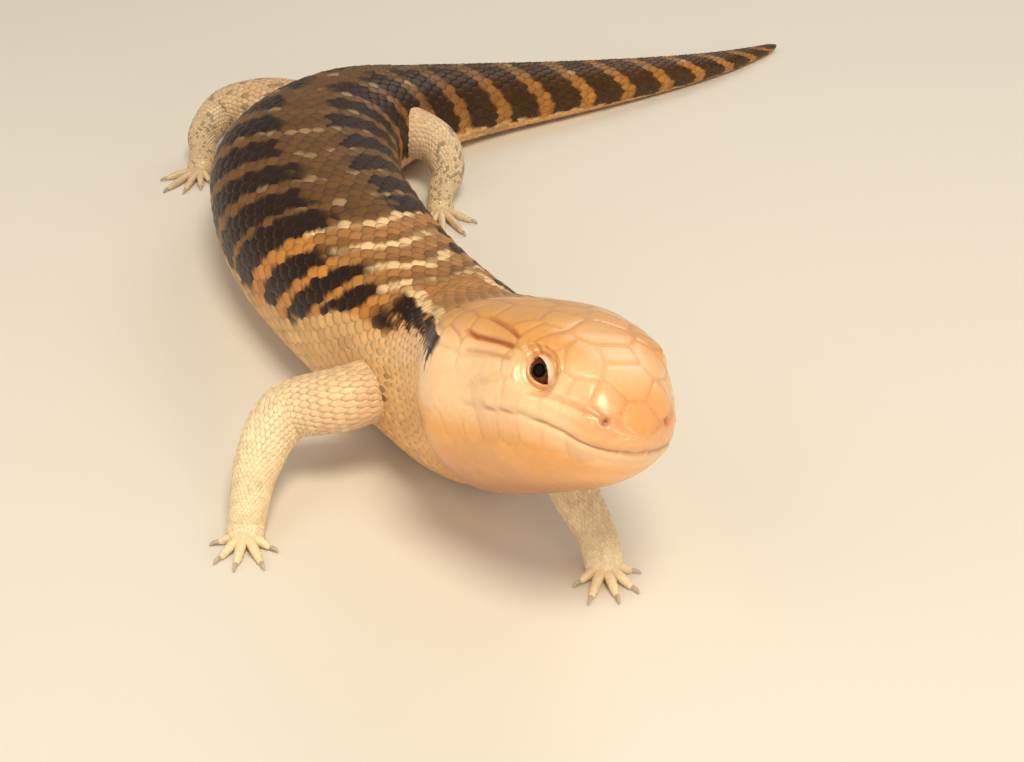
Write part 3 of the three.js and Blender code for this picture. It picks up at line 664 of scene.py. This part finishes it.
def new_material(name):
    mat = bpy.data.materials.new(name)
    mat.use_nodes = True
    return mat, mat.node_tree.nodes["Principled BSDF"]


def point_colours(mat):
    at = mat.node_tree.nodes.new("ShaderNodeAttribute")
    at.attribute_name = "Tint"
    return at.outputs["Color"]


def material(name, rough, coat, bump_scale, bump_strength, colour=None, spec=0.5, coat_rough=0.12,
             sss=0.0, fleck=0.12):
    """Skin with fine flecks and a fine grain, in one colour or in the colours of its points."""
    mat, bsdf = new_material(name)
    nodes, link = mat.node_tree.nodes, mat.node_tree.links.new
    tc = nodes.new("ShaderNodeTexCoord")
    if colour is None:
        base = point_colours(mat)
    else:
        base = nodes.new("ShaderNodeRGB").outputs[0]
        base.default_value = (*colour, 1)

    def grain(size, detail):
        node = set_inputs(nodes.new("ShaderNodeTexNoise"), Scale=size, Detail=detail)
        link(tc.outputs["Object"], node.inputs["Vector"])
        return node.outputs["Fac"]

    def spread(value, low, high):
        node = set_inputs(nodes.new("ShaderNodeMapRange"), From_Min=0.3, From_Max=0.7, To_Min=low,
                          To_Max=high)
        link(value, node.inputs["Value"])
        return node.outputs["Result"]

    noise = grain(620, 5)
    mul = nodes.new("ShaderNodeVectorMath")
    mul.operation = "SCALE"
    link(base, mul.inputs[0])
    link(spread(noise, 1 - fleck, 1 + fleck), mul.inputs["Scale"])
    link(mul.outputs[0], bsdf.inputs["Base Color"])
    link(spread(noise, max(rough - 0.08, 0.05), rough + 0.10), bsdf.inputs["Roughness"])
    set_inputs(bsdf, Specular_IOR_Level=spec, Coat_Weight=coat, Coat_Roughness=coat_rough)
    if sss > 0:
        set_inputs(bsdf, Subsurface_Weight=sss, Subsurface_Radius=(0.004, 0.0016, 0.0008),
                   Subsurface_Scale=0.6)
    bump = set_inputs(nodes.new("ShaderNodeBump"), Strength=bump_strength, Distance=0.0002)
    link(grain(bump_scale, 3), bump.inputs["Height"])
    link(bump.outputs["Normal"], bsdf.inputs["Normal"])
    return mat


mat_skin = material("skink_skin", 0.40, 0.75, 1500, 0.22, sss=0.10, coat_rough=0.25, fleck=0.045)
mat_scale = material("skink_scales", 0.42, 0.06, 1800, 0.22, spec=0.16, fleck=0.08)
mat_limb = material("skink_limb", 0.42, 0.15, 1800, 0.3)
mat_claw = material("skink_claw", 0.32, 0.2, 900, 0.2, colour=(0.50, 0.40, 0.30))


def template(n):
    """One scale, u from its buried front (0) to its free rear (1), v and sideways place across."""
    u, v = np.meshgrid(np.linspace(0, 1, n), np.linspace(-1, 1, n), indexing="ij")
    # half width along u, with a rounded rear
    w = np.where(u < 0.55, 0.78 + 0.22 * np.sin(np.clip(u / 0.55, 0, 1) * math.pi / 2),
                 np.sqrt(np.clip(1 - (np.maximum(u - 0.55, 0) / 0.47) ** 2.6, 0.02, 1)))
    return [q.reshape(1, -1) for q in (u, v, v * w)]


def scale_faces(n):
    """Top sheet with the edge wall, a closed underside, and the rim's points, for one scale."""
    g = np.arange(n * n).reshape(n, n)
    top = np.stack([g[:-1, :-1], g[1:, :-1], g[1:, 1:], g[:-1, 1:]], -1).reshape(-1, 4)
    rim = np.concatenate([g[0, :-1], g[:-1, -1], g[-1, :0:-1], g[:0:-1, 0]])
    k = len(rim)
    low = n * n + np.arange(k)
    wall = np.stack([rim, np.roll(rim, -1), np.roll(low, -1), low], -1)
    under = np.stack([low, np.roll(low, -1), np.full(k, n * n + k)], -1)
    return np.concatenate([top, wall]), under, rim


# Where a scale's root lies in its length, its length in steps from row to row, and its size on the
# baked picture.
ROOT_SHARE, OVERLAP, PATCH = 0.78 / 1.78, 1.95, 0.0014


def build_scales(places, lift, tint_of, surface, normal, grid, seed, root_uv, buried=0.30, thick=0.22,
                 bulge=0.10):
    """All the scales of one region as arrays.

    Places holds, for each scale, its place, angle, length, half width and angle per millimetre."""
    at_s, at_a, length, half_width, arc = [q[:, None] for q in places]
    u, v, y = template(grid)
    count = len(at_s)
    rnd = np.random.default_rng(seed)
    jitter = 1 + (rnd.random((count, 1)) - 0.5) * 0.10
    ss = at_s + (u - ROOT_SHARE) * length * jitter
    aa = at_a + y * half_width * arc
    base = surface(ss, aa)
    nn = normal(ss, aa)
    h = -buried + (lift[:, None] + buried) * u ** 0.9
    h = h + bulge * (1 - v * v) * np.sin(u * math.pi * 0.8) - 0.10 * v * v * u
    h = h * (1 + (rnd.random((count, 1)) - 0.5) * 0.2)
    faces, under, rim = scale_faces(grid)
    top = base + nn * h[..., None]
    low = base[:, rim] + nn[:, rim] * (h[:, rim] - thick)[..., None]
    hub = base.mean(1, keepdims=True) + nn.mean(1, keepdims=True) * (h.mean(1) - thick)[:, None, None]
    verts = np.concatenate([top, low, hub], 1)
    verts[..., 2] = np.maximum(verts[..., 2], LOWEST_SCALE)
    first = (np.arange(count) * verts.shape[1])[:, None, None]
    # painted shade: the edge, the sides and the underside of each scale are darker
    col = tint_of(ss, aa, rnd) * (1 - 0.13 * np.clip(v ** 4 + u ** 6, 0, 1))[..., None]
    low_col = col[:, rim] * (0.55 + 0.30 * smooth(col[:, rim].mean(-1), 0.3, 0.5))[..., None]
    cols = np.concatenate([col, low_col, col.mean(1, keepdims=True) * 0.5], 1)
    px = np.concatenate([u[0], u[0, rim], [0.5]]) - 0.5
    py = np.concatenate([y[0], y[0, rim], [0.0]])
    uv = root_uv(*places[:2])[:, None, :] + np.stack([px * PATCH * 2, py * PATCH], -1)[None]
    return (verts.reshape(-1, 3), (faces[None] + first).reshape(-1, 4),
            (under[None] + first).reshape(-1, 3), cols.reshape(-1, 3), uv.reshape(-1, 2))


def body_uv(s, a):
    return np.stack([0.01 + 0.98 * s / TOTAL, 0.5 + 0.48 * np.arctan2(np.sin(a), np.cos(a)) / math.pi], -1)


def joined(rows):
    """Rows of places as one list for each of their five values."""
    return [np.concatenate(q) for q in zip(*rows)]


def rows_of_scales(start, end, count, scale_len, finer=0.0):
    """Places of scales in staggered rows round the body, closer on the sides if finer is set."""
    ring = np.linspace(-math.pi, math.pi, 241)
    middle = (ring[1:] + ring[:-1]) / 2
    rows = []
    s = start
    while s < end:
        seg = np.linalg.norm(np.diff(skin_point(np.full(len(ring), s), ring), axis=0), axis=1)
        close = 1 + finer * smooth(np.abs(middle), 0.95, 1.25) * (1 - smooth(s, 80, 90))
        cum = np.concatenate([[0], np.cumsum(seg * close)])
        in_row = int(round(count * cum[-1] / seg.sum()))
        angle = np.interp((np.arange(in_row) + 0.5 * (len(rows) % 2)) / in_row * cum[-1], cum, ring)
        arc = np.interp(angle, middle, np.diff(ring) / np.maximum(seg, 1e-4))
        half_width = cum[-1] / in_row * (0.56 + 0.10 * finer) / np.interp(angle, middle, close)
        step = scale_len(s)
        rows.append((np.full(in_row, s), angle, np.full(in_row, step * OVERLAP), half_width,
                     np.minimum(arc, 0.6)))
        s += step
    return joined(rows)


def per_scale(x):
    """The mean of each scale, given to all its points."""
    return x.mean(1, keepdims=True) * np.ones_like(x)


def body_tint(ss, aa, rnd):
    """Colour of the body's scales, with painted shade of a skin fold in front of each foreleg."""
    noise = rnd.random((len(ss), 1)) * np.ones_like(ss)
    fine = rnd.random((len(ss), 1)) * np.ones_like(ss)
    mid_s, mid_a = per_scale(ss), per_scale(aa)
    off = np.abs(mid_a) - 1.73
    slit = ((mid_s - 84 - 14 * off) / 1.35) ** 2 + (off / 0.15) ** 2
    col = marking(0.4 * mid_s + 0.6 * ss, 0.4 * mid_a + 0.6 * aa, noise, fine)
    # painted shade of the fold in front of the foreleg
    return mix(col, DUSK * 1.2, np.exp(-slit ** 3) * 0.85)


def add_piece(name, coat, mat, nodes):
    ob = coat.mesh(name, mat)
    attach(ob, "root")
    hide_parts(*nodes)


SCALE_REGIONS = [
    ("neck", 55.0, 90.0, 46, lambda s: 2.3 + 0.03 * (s - 55), ("head", "neck")),
    ("chest", 90.0, 141.0, 42, lambda s: 3.5 + 0.016 * (s - 90), ("chest",)),
    ("trunk", 141.0, 214.0, 40, lambda s: 4.3, ("trunk",)),
    ("hips", 214.0, 300.0, 36, lambda s: 4.8 - 0.008 * (s - 214), ("hips",)),
    ("tailbase", 300.0, 402.0, 26, lambda s: 4.1 - 0.009 * (s - 300), ("tail_base",)),
    ("tailtip", 402.0, 497.0, 18, lambda s: 3.2 - 0.013 * (s - 402), ("tail_tip",)),
]
for k, (name, start, end, count, length, nodes) in enumerate(SCALE_REGIONS):
    places = rows_of_scales(start, end, count, length, 0.6 if name == "neck" else 0.0)
    # no scales over the ear openings
    ear = np.hypot((places[0] - EAR_BACK + 0.5) / 4.2, (np.abs(places[1]) - EAR_ANGLE) * 22 / 4.6)
    places = [q[ear > 1] for q in places]
    s, turned = places[0], np.abs(places[1])
    lift = np.interp(s, [52, 70, 90, 140, 300, 500], [0.06, 0.12, 0.24, 0.40, 0.42, 0.2])
    lift = lift * np.interp(turned, [0, 1.0, 1.6, 2.6, math.pi], [1, 1, 0.75, 0.55, 0.45])
    lift = lift * (1 - 0.45 * smooth(turned, 1.0, 1.3) * (1 - smooth(s, 86, 104)))
    coat = Gather()
    coat.add(*build_scales(places, lift, body_tint, skin_point, skin_normal, 6, 20 + k,
                           body_uv))
    add_piece("scales_" + name, coat, mat_scale, nodes)


# Toes: angle from the foot's direction and reach, on the left. The right side mirrors them.
FORE = dict(name="fore", radii=[8, 8.2, 7.4, 5.9, 4.9], wrist_r=4.6, palm_r=4.7,
            toes=[(-64, 7.6), (-32, 11.1), (0, 10.4), (28, 9.4), (70, 6.6)])
HIND = dict(name="hind", radii=[9, 9.4, 7.6, 5.8, 4.6], wrist_r=4.4, palm_r=4.6,
            toes=[(-40, 9), (-20, 12.5), (0, 15.5), (22, 17), (54, 12.5)])
# Each leg: its joints from the body down, wrist, palm and the direction of its foot.
LEGS = [
    ("left", FORE, [(32, -80, 24), (42, -90, 25), (44, -103, 22), (49, -114, 13.5), (53.6, -121.2, 7.2)],
     (54, -122, 6.2), (55.2, -126, 2.9), -76),
    ("right", FORE, [(9, -80, 26), (-7, -88, 24), (-22, -89, 20), (-28, -100, 12), (-29, -109, 7)],
     (-29.2, -110, 6), (-29.6, -114, 2.8), -95),
    ("left", HIND, [(-24, 104, 20), (-8, 100, 19), (8, 92, 16), (12, 82, 10), (10, 74, 6)],
     (9.8, 73.3, 5), (9.8, 68.5, 2.8), -84),
    ("right", HIND, [(-34, 112, 20), (-52, 122, 19), (-70, 126, 15), (-77, 117, 9), (-76, 108, 6)],
     (-76, 107.3, 5), (-76.6, 102.5, 2.8), -100),
]
PALM_LENGTH, PALM_END_R = 3.6, 3.6
TOE_ROOT, TOE_R, TOE_END_R = 1.8, 1.35, 0.85
CLAW_R, CLAW_LEN, CLAW_SUNK = 0.55, 2.1, 0.6
# A limb longer than this is a leg, and warmer in colour towards the body.
LEG_AT_LEAST = 20
# Scales in a row round a leg and round a palm.
LEG_ROW, PALM_ROW = 28, 24


def catmull(points, t):
    """The centripetal curve through the points; t runs from 0 to 1."""
    pts = [np.asarray(q, float) for q in points]
    ext = [2 * pts[0] - pts[1]] + pts + [2 * pts[-1] - pts[-2]]
    n = len(pts) - 1
    t = np.atleast_1d(t) * n
    i = np.clip(np.floor(t).astype(int), 0, n - 1)
    w = t - i
    out = np.zeros((len(t), 3))
    for k in range(n):
        m = i == k
        if not m.any():
            continue
        p0, p1, p2, p3 = ext[k:k + 4]
        d0, d1, d2 = [max(np.linalg.norm(b - a) ** 0.5, 1e-4) for a, b in ((p0, p1), (p1, p2), (p2, p3))]
        t1 = ((p1 - p0) / d0 - (p2 - p0) / (d0 + d1) + (p2 - p1) / d1) * d1
        t2 = ((p2 - p1) / d1 - (p3 - p1) / (d1 + d2) + (p3 - p2) / d2) * d1
        x = w[m][:, None]
        c2 = -3 * p1 + 3 * p2 - 2 * t1 - t2
        c3 = 2 * p1 - 2 * p2 + t1 + t2
        out[m] = p1 + t1 * x + c2 * x ** 2 + c3 * x ** 3
    return out


class Limb:
    """A tapered tube round a smooth path, as in the solids, a little thinner for the scales."""

    def __init__(self, points, radii, flat=1.0, inset=0.3):
        self.points = points
        self.radii = ([i / (len(points) - 1) for i in range(len(radii))], radii)
        self.flat, self.inset = flat, inset
        q = catmull(points, np.linspace(0, 1, 200))
        self.length = float(np.linalg.norm(np.diff(q, axis=0), axis=1).sum())

    def at(self, t, a):
        """The surface at a share of the length and an angle."""
        shape = np.shape(t)
        t = np.clip(np.ravel(t), 0, 1)
        a = np.ravel(a)
        c = catmull(self.points, t)
        e = 0.01
        ahead = catmull(self.points, np.clip(t + e, 0, 1)) - catmull(self.points, np.clip(t - e, 0, 1))
        ahead /= np.linalg.norm(ahead, axis=1)[:, None]
        side = np.stack([-ahead[:, 1], ahead[:, 0], 0 * t], -1)
        side /= np.linalg.norm(side, axis=1)[:, None] + 1e-9
        up = np.cross(ahead, side)
        r = curve(self.radii, t) - self.inset
        # rounded ends
        for far, end_r in ((t, self.radii[1][0]), (1 - t, self.radii[1][-1])):
            r = r * np.sqrt(np.clip(1 - np.clip(1 - far / (end_r / self.length), 0, 1) ** 2, 0, 1))
        p = c + side * (np.sin(a) * r)[:, None] + up * (np.cos(a) * r * self.flat)[:, None]
        p[:, 2] = np.maximum(p[:, 2], LOWEST)
        return p.reshape(shape + (3,))

    def normal(self, t, a):
        e = 0.01
        along = self.at(t + e, a) - self.at(t - e, a)
        around = self.at(t, a + 0.05) - self.at(t, a - 0.05)
        c = catmull(self.points, np.clip(np.ravel(t), 0, 1)).reshape(np.shape(t) + (3,))
        return outward(along, around, self.at(t, a) - c)


def limb_mesh(limb, along, around, displace=None):
    """Points, quads and triangles of a limb, its rings closer at the ends."""
    t = np.linspace(0, 1, along)
    t = 0.25 * (1 - np.cos(t * math.pi)) + 0.5 * t
    t[0], t[-1] = 0.0005, 0.9995
    T, B = np.meshgrid(t, np.arange(around) / around * 2 * math.pi, indexing="ij")
    p = limb.at(T, B)
    if displace is not None:
        p = p + limb.normal(T, B) * displace(T, B)[..., None]
    p[..., 2] = np.maximum(p[..., 2], LOWEST)
    return close_rings(p), *tube_faces(along, around)


def foot_tint(p, fore):
    base = GREY_CREAM if fore else GREY_CREAM * np.array([0.8, 0.76, 0.74])
    mottle = smooth(hash3(p * 0.5, 11), 0.4, 0.75) * 0.35
    return np.clip(mix(base, base * np.array([0.74, 0.68, 0.66]), mottle), 0.01, 0.95)


def add_limb(limb, along, around, fore, share, displace=None):
    v, quads, tris = limb_mesh(limb, along, around, displace)
    skin.add(v, quads, tris, foot_tint(v, fore) * share)


def leg_tint(limb, fore):
    """A function for the colour of a limb's scales, those of a hind limb with a few darker ones."""
    def tint(tt, aa, rnd):
        col = foot_tint(limb.at(per_scale(tt), per_scale(aa)), fore)
        shade = 0.92 + 0.14 * rnd.random((len(tt), 1, 1))
        spot = rnd.random((len(tt), 1, 1)) < (0.0 if fore else 0.16)
        upper = (1 - smooth(per_scale(tt), 0.1, 0.55)) * (limb.length > LEG_AT_LEAST)
        col = mix(col, mix(col, ORANGE * 0.9 + 0.1, 0.5), upper)
        return np.clip(col * shade * (1 - spot * 0.45), 0.01, 0.95)
    return tint


def limb_uv(start, share):
    """A function for the place on the baked picture, in a strip of its own."""
    def place(t, a):
        return np.stack([start + share * t, 0.5 + 0.45 * (np.mod(a, 2 * math.pi) / math.pi - 1)], -1)
    return place


def leg_places(leg):
    """Places of the scales on a leg, in staggered rows."""
    rows = []
    t = 0.10
    while t < 0.965:
        rad = float(curve(leg.radii, t))
        step = np.interp(t, [0, 0.5, 1], [1.9, 1.5, 1.2])
        angle = (np.arange(LEG_ROW) + 0.5 * (len(rows) % 2)) / LEG_ROW * 2 * math.pi
        rest = (step * OVERLAP / leg.length, 2 * math.pi * rad / LEG_ROW * 0.57, 1 / rad)
        rows.append([np.full(LEG_ROW, t), angle] + [np.full(LEG_ROW, q) for q in rest])
        t += step / leg.length
    return joined(rows)


def palm_places(palm):
    """Places of the small scales over the back of a hand or foot."""
    rows = np.arange(0.12, 0.93, 1.05 / palm.length)
    t = np.repeat(rows, PALM_ROW)
    stagger = 0.5 * (np.arange(len(rows))[:, None] % 2)
    angle = ((np.arange(PALM_ROW)[None] + stagger) / PALM_ROW * 2 * math.pi).ravel()
    rad = curve(palm.radii, t)
    return [t, angle, np.full(len(t), 2.05 / palm.length), 2 * math.pi * rad / PALM_ROW * 0.57, 1 / rad]


for k, (side, kind, joints, wrist, palm_at, points) in enumerate(LEGS):
    fore = kind is FORE
    joints = [np.array(q, float) for q in joints]
    wrist, palm_at = np.array(wrist, float), np.array(palm_at, float)
    toes = kind["toes"] if side == "left" else [(-a, r) for a, r in reversed(kind["toes"])]

    def reach(angle, far, height):
        """A point so far from the palm's middle, in a direction from the foot's own."""
        way = math.radians(points + angle)
        p = palm_at + np.array([math.cos(way), math.sin(way), 0]) * far
        p[2] = height
        return p

    leg = Limb(joints + [palm_at], kind["radii"] + [kind["wrist_r"]])
    add_limb(leg, 70, 44, fore, 0.7)
    # the palm starts as far up the leg as the wrist is down it
    palm = Limb([2 * joints[-1] - wrist, wrist, palm_at, reach(0, PALM_LENGTH, 2.2)],
                [kind["wrist_r"] * 0.84, kind["wrist_r"] * 0.90, kind["palm_r"], PALM_END_R], flat=0.85,
                inset=0.15)
    coat = Gather()
    for limb, places, lift, seed, strip, depths in (
            (leg, leg_places(leg), 0.15, 60, (0.02, 0.22), (0.18, 0.15, 0.07)),
            (palm, palm_places(palm), 0.10, 90, (0.225, 0.02), (0.16, 0.12, 0.05))):
        lift = np.full(len(places[0]), lift)
        coat.add(*build_scales(places, lift, leg_tint(limb, fore), limb.at, limb.normal, 5,
                               seed + k, limb_uv(strip[0] + 0.25 * k, strip[1]), *depths))
    limb_name = side + "_" + kind["name"]
    add_piece("scales_" + limb_name, coat, mat_limb, (limb_name + "leg", limb_name + "foot"))

    def pebbles(T, B):
        x = T * palm.length / 1.15
        return 0.11 * np.cos(2 * math.pi * x) * np.cos(math.pi * (B * 4.2 / 1.15 + np.floor(x)))

    add_limb(palm, 46, 48, fore, 1, pebbles)
    for angle, far in toes:
        toe = Limb([reach(angle, TOE_ROOT, 2.1), reach(angle, far * 0.55, 1.75), reach(angle, far, 0.86)],
                   [TOE_R, TOE_R * 0.96, TOE_END_R], inset=0.1)

        def scutes(T, B):
            return 0.16 * (np.mod(T * toe.length / 1.25, 1) - 0.5) * (np.cos(B) > -0.3)

        add_limb(toe, 60, 20, fore, 0.96, scutes)
        claw = Limb([reach(angle, far - CLAW_SUNK, 1.05), reach(angle, far + CLAW_LEN * 0.5, 1.05),
                     reach(angle, far + CLAW_LEN, 0.36)], [CLAW_R, CLAW_R * 0.84, 0.2], inset=0.0)
        claws.add(*limb_mesh(claw, 16, 12))

skin_ob = skin.mesh("skin", mat_skin)
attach(skin_ob, "root")
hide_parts("head", "lower_jaw", "neck", "chest", "trunk", "hips", "tail_base", "tail_tip",
            "left_foreleg", "right_foreleg", "left_hindleg", "right_hindleg", "left_forefoot",
            "right_forefoot", "left_hindfoot", "right_hindfoot")

claws_ob = claws.mesh("claws", mat_claw)
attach(claws_ob, "root")
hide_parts("left_forefoot", "right_forefoot", "left_hindfoot", "right_hindfoot")

mat_eye, bsdf = new_material("skink_eye")
mat_eye.node_tree.links.new(point_colours(mat_eye), bsdf.inputs["Base Color"])
set_inputs(bsdf, Roughness=0.3, Specular_IOR_Level=0.0, Coat_Weight=0.16, Coat_Roughness=0.02)
EYE_RINGS, EYE_ROUND = 80, 72
# Colours of the eye: iris, its paler rays, the ring round the pupil, the rim, the pupil.
IRIS, IRIS_RAY, IRIS_RING, EYE_RIM, PUPIL = [np.array(q) for q in (
    [0.065, 0.016, 0.008], [0.12, 0.034, 0.015], [0.17, 0.055, 0.025], [0.05, 0.02, 0.012],
    [0.003, 0.002, 0.002])]
for side, hand in (("left", 1), ("right", -1)):
    c, out, ahead, up = eye_frame(hand)
    look = unit(out + ahead * 0.34 - up * 0.03)
    across = unit(np.cross(up, look))
    T, B = np.meshgrid(np.linspace(0.0, math.pi, EYE_RINGS),
                       np.arange(EYE_ROUND) / EYE_ROUND * 2 * math.pi, indexing="ij")
    t, b = T.ravel(), B.ravel()
    # the cornea bulges a little
    radius = EYE_RADIUS - 0.02 + 0.22 * dome(t, 0, 0.62, 4)
    ways = np.stack([np.cos(t), np.sin(t) * np.cos(b), np.sin(t) * np.sin(b)], -1)
    v = c + ways @ np.stack([look, across, np.cross(look, across)]) * radius[:, None]
    ray = hash3(np.stack([b * 9, t * 3, 0 * t], -1), 9)
    col = mix(IRIS, IRIS_RAY, smooth(ray, 0.35, 0.75) * smooth(t, 0.34, 0.5))
    col = mix(col, IRIS_RING, dome(t, 0.45, 0.05) * 0.4)
    col = mix(col, EYE_RIM, smooth(t, 0.72, 0.86))
    col = mix(PUPIL, col, smooth(t, 0.36, 0.40))
    faces = to_tris(tube_faces(EYE_RINGS, EYE_ROUND)[0], np.zeros((0, 3), int))
    eye = make_mesh("eyeball_" + side, v, faces, np.clip(col, 0.002, 1))
    eye.data.materials.append(mat_eye)
    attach(eye, "root")
    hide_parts("eye_" + side)

# Floor, light and camera, in metres.
floor_mesh = bpy.data.meshes.new("floor")
w = 6.0
floor_mesh.from_pydata([(-w, -w, 0), (w, -w, 0), (w, w, 0), (-w, w, 0)], [], [(0, 1, 2, 3)])
floor = new_object("floor", floor_mesh)
mat_floor, bsdf = new_material("floor_plain")
set_inputs(bsdf, Base_Color=(0.78, 0.75, 0.70, 1), Roughness=0.8)
floor_mesh.materials.append(mat_floor)

world = bpy.data.worlds.new("studio")
bpy.context.scene.world = world
world.use_nodes = True
set_inputs(world.node_tree.nodes["Background"], Color=(1.0, 0.94, 0.85, 1), Strength=0.30)

# Each lamp: place, target, width, power, colour.
LAMPS = {
    "key": ((0.15, -0.60, 1.0), (0.0, -0.1, 0.02), 0.42, 9.0, (1, 0.87, 0.66)),
    "fill": ((-1.1, -0.7, 0.9), (0.0, 0.0, 0.0), 1.5, 6.0, (1, 0.90, 0.74)),
    "low": ((0.8, -1.5, 0.45), (0.0, -0.1, 0.02), 0.4, 5.0, (1, 0.90, 0.74)),
    "rim": ((0.5, 0.9, 0.8), (0.0, 0.0, 0.0), 0.8, 3.5, (1, 0.95, 0.88)),
}
for name, (place, target, width, power, colour) in LAMPS.items():
    data = bpy.data.lights.new(name, "AREA")
    data.shape = "DISK"
    data.size, data.energy, data.color = width, power, colour
    ob = new_object(name, data)
    ob.location = place
    ob.rotation_euler = (Vector(target) - Vector(place)).to_track_quat("-Z", "Y").to_euler()

CAMERA_AT = np.array([33.878, -421.882, 229.593]) - CENTRE
ELEVATION = math.radians(31)
FOCAL_PIXELS, PIXELS_WIDE, SENSOR = 1600.0, 1024, 36
cam_data = bpy.data.cameras.new("camera")
cam_data.sensor_fit = "HORIZONTAL"
cam_data.sensor_width = SENSOR
cam_data.lens = SENSOR * FOCAL_PIXELS / PIXELS_WIDE
cam_data.clip_start = 0.01
cam = new_object("camera", cam_data)
cam.location = CAMERA_AT * MM
cam.rotation_euler = (math.pi / 2 - ELEVATION, 0, 0)
bpy.context.scene.camera = cam

bpy.context.scene.view_settings.view_transform = "Standard"
